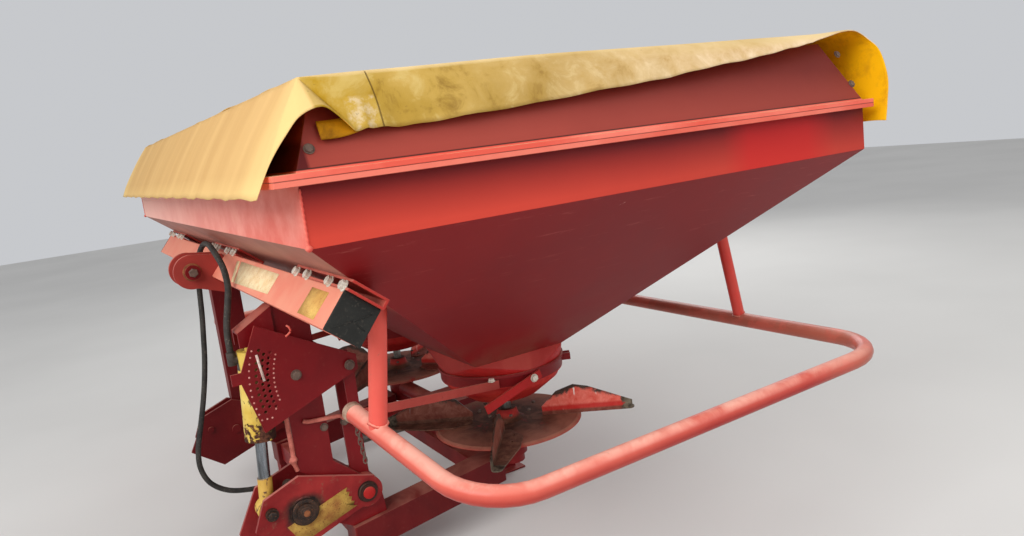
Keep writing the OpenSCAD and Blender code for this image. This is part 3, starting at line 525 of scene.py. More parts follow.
def yellow_enamel():
    """Chipped yellow enamel with rust showing through, most of it towards the lower end. Behind the
    quadrant, whose two edges are lines in y and z, it is darkened as painted shadow, and the hose port is
    bare."""
    f = Finish("yellow_enamel")
    chew = f.noise(30.0, 6.0, 0.7, twist=0.8)
    flakes = f.noise(9.0, 5.0, 0.66, twist=0.6)
    grain = f.noise(120.0, 3.0, 0.6)
    colour = f.mix(f.noise(12.0).over(0.35, 0.65), (206, 168, 66), (228, 202, 110))
    chip = (chew * 0.5 + flakes * 0.5 + f.z.over(0.60, 0.46) * 0.07).over(0.540, 0.560)
    colour = f.mix(chip, colour, f.mix(grain.over(0.4, 0.6), DARK_RUST_AND_SHADOW, (100, 60, 44)))
    # Behind the quadrant the barrel is darkened: painted shadow
    low_edge = f.y * 0.974 + f.z * 0.226
    high_edge = f.y * 0.888 + f.z * -0.460
    quadrant_shadow = low_edge.over(-0.566, -0.560) * high_edge.over(-0.947, -0.941) * f.x.over(0.408, 0.415)
    colour = f.mix(quadrant_shadow * 0.85, colour, DARK_RUST_AND_SHADOW)
    port = f.y.over(-0.726, -0.728) * f.z.over(0.654, 0.656)
    colour = f.mix(port, colour, f.mix(chew.over(0.4, 0.6), (74, 66, 60), (42, 34, 30)))
    return f.done(colour, (0.45 + chip * 0.35).clamp(), bump=grain * 0.3 - chip)


def rod_finish():
    """The lift rod: chrome with dull streaks, and chipped yellow enamel on its eye's end."""
    f = Finish("lift_rod")
    chew = f.noise(30.0, 6.0, 0.7, twist=0.8)
    haze = f.noise(1.0, 4.0, 0.6, at=f.stretched(80.0, 80.0, 8.0))
    chrome = f.mix(haze.over(0.4, 0.62), (150, 154, 158), (96, 96, 96))
    paint = f.mix(f.noise(12.0).over(0.35, 0.65), (178, 132, 40), (214, 176, 82))
    chip = chew.over(0.56, 0.60)
    paint = f.mix(chip, paint, f.mix(chew.over(0.6, 0.7), RUST, DARK_RUST_AND_SHADOW))
    eye = f.z.over(0.370, 0.367)
    colour = f.mix(eye, chrome, paint)
    rough = (0.22 + eye * 0.3 + haze * 0.1).clamp()
    return f.done(colour, rough, metallic=1 - eye, bump=chew * eye, specular=0.5)


def cloth_outside():
    """Coated cloth: the front flap bleached tan in streaks, the sides mottled mustard that pales to
    the rear, with a dark seam across each side and a rubbed patch in front of it."""
    f = Finish("cloth_outside")
    cloud = f.noise(4.0, 6.0, 0.62)
    blot = f.noise(16.0, 6.0, 0.68, twist=0.5)
    fine = f.noise(60.0, 5.0, 0.7)
    weave = f.noise(700.0, 2.0, 0.5)
    run = f.noise(1.0, 5.0, 0.6, at=f.stretched(9.0, 1.2, 1.2))
    tan = f.mix(run.over(0.34, 0.66), (204, 162, 104), (216, 176, 116))
    ends = (abs(f.x).over(0.98, 1.12) * 0.6 + f.z.over(1.13, 1.10) * 0.3).clamp()
    tan = f.mix(ends, tan, (236, 202, 134))
    front = (-f.y).over(0.665, 0.672)
    mustard = f.mix(cloud.over(0.36, 0.62), (158, 124, 42), (186, 152, 74))
    mustard = f.mix((blot.over(0.54, 0.68) * 0.7).clamp(), mustard, (198, 172, 104))
    mustard = f.mix((blot.over(0.44, 0.30) * 0.7).clamp(), mustard, (122, 90, 34))
    corner = f.y.over(-0.53, -0.60)
    ochre = f.mix(blot.over(0.4, 0.6), (176, 138, 30), (190, 160, 84))
    mustard = f.mix(corner * 0.7, mustard, ochre)
    cream = f.mix(blot.over(0.35, 0.65), (200, 164, 112), (228, 202, 166))
    pale = (f.y.over(-0.45, 0.35) * 0.95 + (cloud - 0.5) * 0.5).clamp()
    side = f.mix(pale, mustard, cream)
    top = f.mix(cloud.over(0.35, 0.65), (204, 172, 112), (226, 198, 146))
    side = f.mix(f.nz.over(0.6, 0.9), side, top)
    hanging = abs(f.nx).over(0.4, 0.6)
    seam = abs(f.y + 0.553).over(0.0018, 0.0006) * hanging
    rubbed = f.y.over(-0.612, -0.606) * f.y.over(-0.553, -0.558) * f.z.over(1.236, 1.230) * hanging
    thread = f.mix(fine.over(0.45, 0.62), (202, 166, 80), (238, 222, 196))
    side = f.mix(rubbed * 0.38, side, thread)
    side = f.mix(seam * 0.7, side, (78, 54, 26))
    side = f.mix(fine.over(0.68, 0.74) * 0.6, side, (96, 70, 40))
    colour = f.mix(front, side, tan)
    relief = weave * 0.3 + blot * 0.6 + cloud - seam
    return f.done(colour, 0.85, bump=relief, depth=0.0015, specular=0.1)


def cloth_inside(name, clean, smudged):
    """The cloth's inner face, still deep yellow, with brown smudges."""
    f = Finish(name)
    smudge = f.noise(14.0, 6.0, 0.66, twist=0.4)
    weave = f.noise(700.0, 2.0, 0.5)
    colour = f.mix(smudge.over(0.5, 0.72), clean, smudged)
    return f.done(colour, 0.6, bump=weave * 0.3 + smudge, depth=0.001, specular=0.1)


def plain_finish(name, first, second, scale, roughness, metallic=0.0, spots=None, specular=0.3):
    """Two tones in clouds, with spots of a third colour where given."""
    f = Finish(name)
    cloud = f.noise(scale, 5.0, 0.62)
    grain = f.noise(scale * 9, 3.0, 0.6)
    colour = f.mix(cloud.over(0.35, 0.65), first, second)
    if spots:
        colour = f.mix(grain.over(0.58, 0.70) * 0.8, colour, spots)
    rough = (cloud * 0.2 + roughness).clamp()
    return f.done(colour, rough, metallic, bump=grain, depth=0.0003, specular=specular)


def arm_enamel():
    """The lift arms: enamel with old grease round the link pin, and a dark ring round the pivot."""
    f = Finish("arm_enamel")
    upright = (0, 1, 1)
    cloud = f.noise(7.0, 5.0, 0.62, twist=0.4)
    crumbs = f.noise(52.0, 6.0, 0.7)
    grain = f.noise(120.0, 3.0, 0.6)
    colour = f.mix(cloud.over(0.35, 0.7), (112, 18, 22), (150, 40, 38))
    colour = f.mix((f.nz.over(0.2, 0.8) * 0.7).clamp(), colour, (196, 124, 112))
    colour = f.mix((crumbs.over(0.58, 0.70) * 0.5).clamp(), colour, BROWN_DUST)
    far = f.distance(*LINK_PIN * MM, only=upright)
    grease = (far + (cloud - 0.5) * 0.06).over(0.060, 0.040)
    colour = f.mix(grease, colour, f.mix(crumbs.over(0.45, 0.65), (30, 24, 22), (72, 50, 36)))
    hub = f.distance(*PIVOT * MM, only=upright)
    ring = (hub + (cloud - 0.5) * 0.008).over(0.030, 0.027) * hub.over(0.014, 0.017)
    colour = f.mix(ring, colour, (50, 28, 22))
    return f.done(colour, (0.5 - grease * 0.12).clamp(), bump=crumbs * 0.8 + grain * 0.3)


class Finishes:
    """Every material, made once."""

    hopper = hopper_enamel()
    collar = collar_enamel()
    red = enamel("red_enamel", (116, 12, 18), (172, 54, 48), (86, 8, 12))
    # A darker copy of the red enamel for pieces that lie in shade: painted shade
    dark = enamel("painted_shade_enamel", (92, 10, 14), (146, 54, 46), (58, 6, 8),
                  fade_and_light_up=0.35, dust=0.4)
    bright = enamel("bright_enamel", (164, 22, 22), (190, 60, 50), (118, 26, 20), dust=0.3)
    pink = enamel("pink_enamel", (212, 78, 66), (240, 146, 124), (186, 56, 50),
                  fade_and_light_up=0.4, fade_and_light_front=0.5, dust=0.35)
    beam = enamel("beam_enamel", (228, 112, 92), (244, 168, 138), (206, 84, 68),
                  fade_and_light_up=0.4, fade_and_light_front=0.5, dust=0.3)
    bracket = enamel("bracket_enamel", (176, 48, 40), (222, 122, 102), (140, 34, 30),
                     fade_and_light_up=0.4, fade_and_light_front=0.4, dust=0.35)
    salmon = enamel("salmon_enamel", (158, 58, 50), (204, 118, 102), (122, 40, 34), dust=0.3)
    guard = guard_enamel("guard_enamel", (158, 32, 28), (224, 108, 90), 0.9, 0.6)
    post = guard_enamel("guard_post_enamel", (206, 50, 44), (232, 112, 96), 0.5, 0.1)
    arm = arm_enamel()
    disc = disc_enamel()
    vane = vane_enamel()
    yellow = yellow_enamel()
    rod = rod_finish()
    cloth = cloth_outside()
    lining = cloth_inside("cloth_inside", (250, 184, 8), (206, 140, 16))
    # A darker copy of the lining for the hem under the curl: painted shade
    painted_shade_lining = cloth_inside("cloth_hem_painted_shade", (164, 110, 6), (104, 64, 10))
    plastic = plain_finish("black_plastic", (26, 26, 24), (38, 38, 35), 20.0, 0.5,
                           spots=(62, 58, 52), specular=0.2)
    steel = plain_finish("bare_steel", (150, 148, 144), (112, 106, 98), 30.0, 0.25, 0.9)
    zinc = plain_finish("zinc_steel", (232, 226, 212), (186, 176, 160), 60.0, 0.4, 0.1,
                        spots=(150, 124, 104))
    dull = plain_finish("dull_bolts", (112, 92, 80), (84, 66, 58), 60.0, 0.5, 0.1,
                        spots=(66, 38, 30))
    grease = plain_finish("greasy_steel", (34, 27, 24), (72, 50, 38), 34.0, 0.35, 0.2,
                          spots=(128, 76, 40))
    rusty = plain_finish("rusty_steel", (150, 92, 56), (104, 56, 34), 40.0, 0.7, 0.1,
                         spots=(64, 36, 26))
    rubber = plain_finish("hose_rubber", (34, 33, 32), (62, 59, 54), 18.0, 0.6,
                          spots=(104, 96, 86))
    label = plain_finish("old_label", (242, 222, 180), (228, 196, 146), 40.0, 0.6,
                         spots=(178, 128, 92), specular=0.15)
    caution = plain_finish("yellow_label", (226, 186, 104), (204, 154, 84), 40.0, 0.6,
                           spots=(168, 104, 62), specular=0.15)
    worn_label = plain_finish("worn_label", (186, 150, 72), (142, 92, 48), 24.0, 0.6,
                              spots=(86, 44, 30), specular=0.15)
    dots = plain_finish("scale_paint", (214, 156, 144), (186, 110, 100), 120.0, 0.6)
    worn = plain_finish("worn_rods", (204, 118, 104), (158, 82, 70), 44.0, 0.5,
                        spots=(110, 66, 56), specular=0.15)
    mouth = plain_finish("tube_mouths", (178, 152, 132), (148, 116, 98), 50.0, 0.6,
                         spots=(104, 78, 64), specular=0.15)
    white = plain_finish("white_paint", (226, 214, 204), (190, 150, 138), 120.0, 0.6)


# The frame's pieces by finish, each with the width of its softened edges in millimetres
DRESS = [
    (Finishes.hopper, {"hopper": 1.5, "hopper_sides": 1.5, "hopper_ridge": 0}),
    (Finishes.collar, {"collar": 1.2}),
    (Finishes.bright, {"metering_collars": 0, "shutter_levers": 0.8}),
    (Finishes.red, {
        "metering_rings": 0.8, "top_link_pin": 1.0, "post_left": 2.0, "cross_members": 2.0,
        "side_bars": 1.0, "cylinder_channels": 1.0, "quadrant": 0.8, "quadrant_boss": 0.5,
        "setting_shaft": 0.6, "front_feet": 1.5, "rear_feet": 1.5, "drive_housing": 2.0}),
    (Finishes.disc, {
        "metering_cup_left": 0.8, "metering_cup_right": 0.8, "disc_left": 0.8, "disc_right": 0.8}),
    (Finishes.salmon, {"shutter_links": 0.8, "top_link_plates": 1.2}),
    (Finishes.beam, {"square_beam": 3.0}),
    (Finishes.plastic, {"beam_caps": 2.0}),
    (Finishes.bracket, {"beam_brackets": 1.0}),
    # These pieces take the darker copy of the red enamel: painted shade
    (Finishes.dark, {"post_right": 2.0, "lower_beams": 3.0, "right_arm": 1.0}),
    (Finishes.arm, {"pivot_tubes": 0.8, "arm_plates": 1.0}),
    (Finishes.guard, {"guard_tube": 0}),
    (Finishes.post, {"guard_posts": 0, "rear_struts": 0}),
    (Finishes.steel, {"input_stub": 0.8, "spindle_left": 0.8, "spindle_right": 0.8}),
    (Finishes.vane, {"vanes_left": 0.6, "vanes_right": 0.6}),
    (Finishes.grease, {"link_pins": 0.8}),
    (Finishes.yellow, {"lift_barrels": 0.8}),
    (Finishes.rod, {"lift_rods": 0.8})
]
SAME_POINT = 0.00001
# Degrees from which an edge is softened, and up to which facets are smoothed
SHARP = 40
FACET = 38


def dress(name, material, edge):
    """Gives a frame piece its finish, and rounds its sharp edges where a width is given."""
    piece = nodes[name]
    piece.data.materials.clear()
    piece.data.materials.append(material)
    if edge:
        weld(piece, SAME_POINT)
        soften = piece.modifiers.new("soften", "BEVEL")
        soften.width = edge * MM
        soften.segments = 2
        soften.limit_method = "ANGLE"
        soften.angle_limit = np.radians(SHARP)
        soften.use_clamp_overlap = True


for material, pieces in DRESS:
    for name, edge in pieces.items():
        dress(name, material, edge)


def round_off(name):
    """Shades a frame piece's facets as one round surface where they meet at a small angle."""
    piece = nodes[name]
    piece.data.polygons.foreach_set("use_smooth", np.ones(len(piece.data.polygons), bool))
    weld(piece, SAME_POINT)
    split = piece.modifiers.new("edges", "EDGE_SPLIT")
    split.split_angle = np.radians(FACET)
    piece.modifiers.new("normals", "WEIGHTED_NORMAL")


for name in ("guard_tube", "guard_posts", "rear_struts", "metering_collars"):
    round_off(name)


# Hydraulic hose: the route of its solid, point by point

HOSE_R = 8.0
HOSE_ROUTE = [
    (408, -740, 704.3), (408, -740, 722), (407, -739, 748), (404, -734, 780), (395, -723, 820),
    (375, -712, 855), (340, -706, 885), (290, -702, 908), (230, -700, 926), (165, -696, 936),
    (100, -690, 941), (40, -686, 943), (-20, -686, 940), (-72, -690, 922), (-100, -698, 888),
    (-109, -706, 840), (-110, -711, 780), (-110, -716, 720), (-110, -723, 660),
    (-110, -732, 590), (-110, -745, 520), (-110, -762, 450), (-110, -782, 380),
    (-110, -800, 315), (-110, -804, 255), (-110, -785, 200), (-110, -740, 160),
    (-110, -680, 140), (-110, -620, 133), (-110, -570, 132), (-110, -519.3, 132)
]


def make_hose():
    path = spline(HOSE_ROUTE, 8)
    hose = Form("hose").sweep(path, HOSE_R, 16, (0.9, 0.3, 0.13)).piece(
        Finishes.rubber, slot="hose_rubber")
    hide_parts("hydraulic_hose")


make_hose()


# Cover: one cloth over the collar

CLOTH_T = 1.6
# Along the cloth: y, height of the fold, x of the fold, x and height of the side's edge
COVER_ROWS = [
    (-670, 1274, 1083, 1128, 1168), (-604, 1276.5, 1083, 1137, 1178),
    (-555, 1278, 1083, 1133, 1179), (-448, 1280, 1083, 1132, 1180),
    (-220, 1286, 1083, 1133, 1196), (10, 1288, 1083, 1132, 1212), (179, 1289, 1083, 1132, 1228),
    (368, 1291, 1083, 1132, 1247), (505, 1292, 1083, 1132, 1263), (600, 1293, 1083, 1132, 1279),
    (674, 1293, 1083, 1126, 1291), (740, 1292, 1083, 1116, 1291), (776, 1268, 1083, 1126, 1268),
    (784, 1235, 1083, 1150, 1235), (778, 1170, 1083, 1172, 1170), (764, 1110, 1083, 1178, 1110),
    (752, 1064, 1083, 1180, 1064)
]
# Free edge of the front flap's curl, from its lower corner round to the side
CURL = [
    (1148, -783, 1090), (1153, -757, 1140), (1151, -723, 1182), (1146, -693, 1210),
    (1140, -654, 1221), (1138, -626, 1202), (1137, -604, 1178)
]


def ripple(points, size):
    """Small waves: size times the sum of three sines of the place, as a vector across the cloth."""
    x, y, z = np.moveaxis(points, -1, 0)
    wave = (np.sin(x / 61 + 1.3 * np.sin(y / 97)) + np.sin(y / 43 + 2.0 + x / 210)
            + np.sin((x + y) / 29 + z / 50) * 0.5)
    return size * wave


def cover_main():
    """Stations along the cloth, and across each one: side, top and side, as straight runs with a
    slight bulge. Before the curl's end the sides end at the line from the corner to it."""
    rows = spline(COVER_ROWS, 8)
    y, ridge_z, ridge_x, edge_x, edge_z = rows.T[:, :, None]
    corner_y, corner_z, corner_x = COVER_ROWS[0][:3]
    share = np.clip((y - corner_y) / (CURL[-1][1] - corner_y), 0, 1)
    edge_x = np.where(share < 1, corner_x + (CURL[-1][0] - corner_x) * share, edge_x)
    edge_z = np.where(share < 1, corner_z + (CURL[-1][2] - corner_z) * share, edge_z)
    t = np.linspace(1, 0, 13)[None]
    bulge = 7 * np.sin(np.pi * t) * share
    run = np.arange(len(rows))[:, None]
    hangs = (edge_z < ridge_z - 20) * (share == 1)
    hem = 5 * np.sin(run * 0.9) * np.sin(run * 0.37 + 1) * t**2 * hangs
    side = np.stack([ridge_x + (edge_x - ridge_x) * t + bulge + hem * 0.7,
                     np.broadcast_to(y, bulge.shape),
                     ridge_z + (edge_z - ridge_z) * t + bulge * 0.3 + hem * 0.4], -1)
    s = np.linspace(1, -1, 49)[None, 1:-1]
    sag = 26 * (1 - s**2) * np.clip(1 - (y / 640) ** 2, 0, 1)
    top = np.stack([ridge_x * s, np.broadcast_to(y, (len(rows), s.size)), ridge_z - sag], -1)
    top[..., 2] += ripple(top, 1.2) * np.clip((1 - s**2) * 8, 0, 1)
    return np.concatenate([side, top, side[:, ::-1] * (-1, 1, 1)], 1)


def cover_front():
    """Straight lines from the fold down to the lower edge, and at each end a cone from the corner to
    the curl's edge."""
    fold_y, fold_z, fold_x = COVER_ROWS[0][:3]
    curl = spline(CURL, 8)
    s = np.linspace(-1, 1, 61)[1:-1]
    ragged = 1.6 * np.sin(s * 37) + 1.2 * np.sin(s * 83 + 1)
    low = np.column_stack([s * CURL[0][0], np.full(s.size, CURL[0][1]), CURL[0][2] + ragged])
    low = np.vstack([curl[::-1] * (-1, 1, 1), low, curl])
    high = np.column_stack([s * fold_x, np.full(s.size, fold_y), np.full(s.size, fold_z)])
    corner = np.tile([fold_x, fold_y, fold_z], (len(curl), 1))
    high = np.vstack([corner * (-1, 1, 1), high, corner])
    t = np.linspace(0, 1, 17)[:, None, None]
    flap = high + (low - high) * t
    towards = np.linspace(0, 1, len(curl))
    free = np.concatenate([towards, np.ones(s.size), towards[::-1]])
    lift = (5 * np.sin(np.pi * t[..., 0]) + ripple(flap, 0.8) * np.sin(np.pi * t[..., 0] / 2)) * free
    flap[..., 1] -= lift
    return flap


def turned_hem():
    """The skirt's front end, turned in under the curl: a strip of lining 5 mm inside the skirt's own
    slope, from 0.74 of its depth to its lower edge."""
    y = np.linspace(-662, -592, 15)[:, None]
    depth = np.linspace(0.74, 1.03, 6)[None]
    low = 1172 + (y + 662) * 0.11 - 3 * np.sin(np.pi * (y + 662) / 70)
    z = 1276 + (low - 1276) * depth
    x = 1078 + (1129 - 1078) * depth + 0 * y
    return np.stack([x, y + 0 * depth, z], -1)


def make_cover():
    form = Form("cover_cloth")
    form.grid(cover_main(), flip=True)
    form.grid(cover_front(), flip=True)
    outer_faces = sum(len(block) for block in form.faces)
    hem = turned_hem()
    form.grid(hem, flip=True)
    form.grid(hem * (-1, 1, 1))
    cover = form.piece(Finishes.cloth, slot="cover_cloth")
    cover.data.materials.append(Finishes.lining)
    cover.data.materials.append(Finishes.painted_shade_lining)
    # The turned hem's faces take the darker lining: painted shade
    lined = np.where(np.arange(len(cover.data.polygons)) >= outer_faces, 2, 0).astype(np.int32)
    cover.data.polygons.foreach_set("material_index", lined)
    weld(cover, 0.0002)
    solid = cover.modifiers.new("thickness", "SOLIDIFY")
    solid.thickness = CLOTH_T * MM
    solid.offset = -1
    # The inner face has the material after the outer one's
    solid.material_offset = 1
    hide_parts("cover")


make_cover()


# Small pieces

def add_bolt(form, centre, axis, across, tall):
    """A washer and a hexagon head, as rings of (radius, height)."""
    r = across / 2
    form.lathe([(r * 1.35, -0.5), (r * 1.35, 1.6), (r * 1.2, 2.0)], centre, axis, 18)
    form.lathe([(r, 1.5), (r * 1.12, 2.2), (r * 1.12, tall), (r * 0.9, tall + 1)], centre, axis, 18, 6)


def bolts(name, places, axis, across, tall, material=Finishes.dull):
    form = Form(name)
    for place in places:
        add_bolt(form, place, axis, across, tall)
    form.piece(material, slot="bare_steel", smooth=False)


LEFT = np.array([1.0, 0, 0])
# The hopper's front slope runs 551 mm back and 456 mm down
SLOPE = np.arctan2(456, 551)
DOWN_SLOPE = np.array([0, np.cos(SLOPE), -np.sin(SLOPE)])
OUT_OF_SLOPE = np.array([0, -np.sin(SLOPE), -np.cos(SLOPE)])
BEAM_HALF = 39.0


def middle(node):
    """The middle of a frame piece's box, in millimetres."""
    return np.mean(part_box(node), 0) / MM


def on_beam(x, down, out):
    """A place by the beam: its middle + x, + down along the hopper's slope, + out away from it."""
    beam = middle("square_beam") * (0, 1, 1)
    return beam + LEFT * x + DOWN_SLOPE * down + OUT_OF_SLOPE * out


def bracket_bolts():
    """Four bright bolts in the front of each bracket, two on each side of its middle."""
    steps = np.array([-146, -68, 68, 146])
    across = np.add.outer((-911, 0, 911), steps).ravel()
    places = [on_beam(x, -BEAM_HALF, -BEAM_HALF - 6) for x in across]
    bolts("bracket_bolts", places, -DOWN_SLOPE, 17, 9, Finishes.zinc)


def beam_labels():
    """Two blank, faded labels on the face of the beam that looks up and forward."""
    front = -BEAM_HALF
    first = [on_beam(x, front, out) for x, out in ((274, -28), (654, -28), (650, 22), (330, 30))]
    strip = [on_beam(x, front, out) for x, out in ((228, -26), (262, -27), (318, 30), (290, 30))]
    second = [on_beam(x, front, out) for x, out in ((903, -25), (1003, -25), (999, 31), (898, 31))]
    form = Form("beam_labels")
    form.plate(first, -DOWN_SLOPE, 0.6)
    form.plate(strip, -DOWN_SLOPE, 0.6)
    form.piece(Finishes.label)
    Form("caution_label").plate(second, -DOWN_SLOPE, 0.6).piece(Finishes.caution)


def cap_creases():
    """Two creases moulded across each end cap, as thin ridges that meet off its middle."""
    form = Form("cap_creases")
    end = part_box("beam_caps")[1][0] / MM
    for side in (1, -1):
        for a, b in (((-27, 29), (2, 2)), ((2, 2), (27, -24)), ((2, 2), (29, 8))):
            ends = [on_beam(side * end, down, out) for down, out in (a, b)]
            form.sweep(np.linspace(*ends, 5), 1.3, 8, (1, 0.1, 0))
    form.piece(Finishes.plastic, slot="black_plastic")


def corner_welds():
    """A rough bead down each front corner of the hopper's band, with a blob at its foot: radius + a
    sine of the run."""
    form = Form("weld_beads")
    run = np.linspace(0, 1, 41)
    for side in (1, -1):
        bead = np.column_stack([np.full(41, side * 1142.5), np.full(41, -713.5), 1003 + 94 * run])
        form.sweep(bead, 2.4 + 0.5 * np.sin(run * 61), 10, (1, 0.2, 0))
        blob = np.linspace((side * 1142, -713, 996), (side * 1143, -714, 1007), 7)
        form.sweep(blob, 1.5 + 5 * np.sin(np.linspace(0.15, np.pi - 0.15, 7)), 12, (1, 0.2, 0))
    form.piece(Finishes.pink, slot="faded_paint")


# Where the guard's posts and struts stand on its tube, as place, direction up and radius
GUARD_JOINTS = [((850, -551, 561), (0, 46, 273), 20), ((705, 698, 499), (0, -89, 300), 17)]


def guard_welds():
    """A weld round the foot of each post and strut: the tube's radius + a little, with waves."""
    form = Form("guard_welds")
    turn = np.linspace(0, 2 * np.pi, 33)
    for place, up, radius in GUARD_JOINTS:
        up = unit(np.array(up, float))
        side = unit(np.cross(up, (0, 1, 0)))
        fore = np.cross(up, side)
        height = 20.5 * (1 - 0.32 * np.cos(turn) ** 2)[:, None]
        round_foot = np.cos(turn)[:, None] * side + np.sin(turn)[:, None] * fore
        ring = np.array(place) + (radius + 0.6) * round_foot + height * up
        bead = 3.0 + 0.7 * np.sin(turn * 19)
        form.sweep(ring, bead, 8, up)
        form.sweep(ring * (-1, 1, 1), bead, 8, up)
    form.piece(Finishes.guard, slot="guard_paint")


def guard_ends():
    """A dusty ring in the mouth of each open end of the guard, turned from its wall's section."""
    form = Form("guard_end_rings")
    section = [(17, -14), (22.4, -14), (23, -10), (23, 2), (21.6, 4.5), (19, 5), (17, 3), (16.6, -12)]
    bend = (1200, -502, 491)
    out = unit(GUARD_END - bend)
    for mirror in np.array([[1, 1, 1], [-1, 1, 1]]):
        form.lathe(section, GUARD_END * mirror, out * mirror, 32)
    form.piece(Finishes.mouth, slot="guard_paint")


def quadrant_scale():
    """Pale dots in two arcs along the rows of setting holes, closed below, and the white pointer."""
    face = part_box("quadrant")[1][0] / MM
    y, z = QUADRANT_SHAFT
    form = Form("scale_dots")
    places = []
    for radius, last, count in ((247, -19, 12), (189, -13, 11)):
        turns = np.radians(np.linspace(22, last, count))
        places += [(face, y - radius * np.cos(a), z + radius * np.sin(a)) for a in turns]
    foot = [np.array(places[11]), np.array(places[-1])]
    low = (foot[0] + foot[1]) / 2 - (0, 0, 20)
    places += [foot[0] * 0.5 + low * 0.5, low, foot[1] * 0.5 + low * 0.5]
    for place in places:
        form.lathe([(2.4, -0.5), (2.4, 0.5), (1.8, 0.8)], place, LEFT, 10)
    form.piece(Finishes.dots)
    tips = [(face, -698, 699), (face, -692, 699), (face, -684, 631), (face, -690, 631)]
    Form("scale_pointer").plate(tips, LEFT, 1.6).piece(Finishes.white)


def quadrant_bolts():
    """Dull bolts through the quadrant's boss and over its shaft's end, and a hook by its edge."""
    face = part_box("quadrant")[1][0] / MM
    bolts("quadrant_bolts", [(face, -610, 626), (face + 7, *QUADRANT_SHAFT)], LEFT, 20, 8)
    bend = [(476, -612, 752), (482, -608, 748), (483, -606, 738), (481, -612, 731), (479, -619, 726)]
    hook = spline(bend, 6)
    Form("quadrant_hook").sweep(hook, 2.6, 10, (0.1, 0.3, 1)).piece(Finishes.pink, slot="faded_paint")


def top_pin_head():
    """The hexagon head of the top link pin in a rusty ring, and a split pin through its other end."""
    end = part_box("top_link_pin")
    y, z = middle("top_link_pin")[1:]
    form = Form("top_pin_head")
    form.lathe([(13, -1), (13, 7), (11, 9)], (end[1][0] / MM, y, z), LEFT, 24, 6)
    form.piece(Finishes.dull, slot="bare_steel", smooth=False)
    form = Form("top_pin_ring")
    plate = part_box("top_link_plates")[1][0] / MM
    form.lathe([(17, -0.5), (25, -0.5), (25, 1.4), (24, 2), (17.5, 2)], (plate, y, z), LEFT, 36)
    form.piece(Finishes.rusty, slot="bare_steel")
    loop = [(-66, y - 19, z - 3), (-66, y + 17, z + 2), (-67, y + 24, z - 6), (-64, y + 16, z - 9)]
    wire = spline(loop, 8)
    Form("split_pin").sweep(wire, 2.2, 8, (1, 0.1, 0.2)).piece(Finishes.zinc, slot="bare_steel")


def link_pin_parts():
    """Greasy washers and nuts on the left arm's link pin, eye pin and pivot, a worn label with a torn
    edge, and a nut. Heights are from each pin's outer end."""
    form = Form("link_washers")
    form.lathe([(15, -11.6), (33, -11.6), (34, -10), (34, -9), (32, -8), (15, -8)], LINK_PIN, LEFT, 40)
    form.lathe([(11, -1), (17.5, -1), (18, 0.8), (17, 1.8), (11, 2)], LINK_PIN, LEFT, 32)
    form.lathe([(9.5, -0.8), (12.5, -0.8), (12.5, 3), (11, 4.2), (3, 4.6), (3, -0.8)], LINK_PIN, LEFT, 24)
    form.lathe([(11, -0.8), (12.6, 0), (12.6, 6), (10.5, 7.5)], EYE_PIN, LEFT, 24, 6)
    form.lathe([(14, -24), (25, -24), (26, -22.5), (26, -20), (24, -18.6), (15, -18.6)], PIVOT, LEFT, 40)
    form.piece(Finishes.grease, "lift_arms", "bare_steel")
    form = Form("pivot_core")
    form.lathe([(16.6, -24), (16.6, -11.6), (15.5, -10.8)], PIVOT, LEFT, 32)
    form.piece(Finishes.bright)
    form = Form("link_pin_rust")
    form.lathe([(2.5, -0.5), (8.5, -0.5), (8.5, 4.9), (7.5, 5.4), (2.5, 5.2)], LINK_PIN, LEFT, 24)
    form.piece(Finishes.rusty, "lift_arms", "bare_steel")
    edge = np.linspace((450, -524, 287), (450, -505, 229), 9)
    edge[1::2] -= (0, 7, 4)
    corners = np.vstack([edge, [(450, -660, 181), (450, -690, 236)]])
    Form("arm_label").plate(corners, LEFT, 0.5).piece(Finishes.worn_label, "lift_arms")
    form = Form("arm_nut")
    add_bolt(form, (376, -657, 318), LEFT, 20, 7)
    form.piece(Finishes.dull, "lift_arms", "bare_steel", smooth=False)


def stop_rod():
    """A rod with a knuckle at its foot, hung from the quadrant's fold in front of the left post."""
    form = Form("stop_rod")
    line = spline([(432, -642, 512), (432, -642, 470), (432, -641, 430), (432, -642, 404)], 6)
    form.sweep(line, 6.0, 16, (1, 0.1, 0))
    foot = [(432, -648, 404), (432, -644, 399), (432, -643, 390), (432, -640, 378), (432, -637, 366)]
    knuckle = spline(foot, 6)
    bulge = 5.5 + 6 * np.exp(-((np.linspace(0, 1, len(knuckle)) - 0.3) / 0.2) ** 2)
    form.sweep(knuckle, bulge, 16, (1, 0.1, 0))
    form.piece(Finishes.worn, slot="faded_paint")


def chain_and_clips():
    """A short chain from the guard's end to the side bar, and a bar with two bolts on the post's outer
    face. Each link is a stretched ring: (a cos t, b sin t), turned a quarter from the one before."""
    form = Form("chain")
    top = np.array([736.0, -562, 560])
    foot = np.array([724.0, -548, 452])
    up = np.array([0, 0, 1.0])
    turn = np.linspace(0, 2 * np.pi, 17)[:-1]
    count = 9
    for k in range(count):
        centre = top + (foot - top) * (k + 0.5) / count
        across = LEFT if k % 2 else np.array([0.0, 1, 0])
        ring = centre + 8.6 * np.cos(turn)[:, None] * up + 4.4 * np.sin(turn)[:, None] * across
        form.loop(ring, 1.5, 8, np.cross(up, across))
    form.piece(Finishes.dull, slot="bare_steel")
    form = Form("post_clips")
    rise = [(439, -604, 492), (440, -590, 487), (440, -540, 482), (440, -508, 478), (437, -498, 468)]
    bar = spline(rise, 6)
    form.sweep(bar, 5.5, 12, (0.1, 0.2, 1))
    form.piece(Finishes.worn, slot="faded_paint")
    bolts("clip_bolts", [(433, -552, 459), (433, -497, 458)], LEFT, 16, 7)


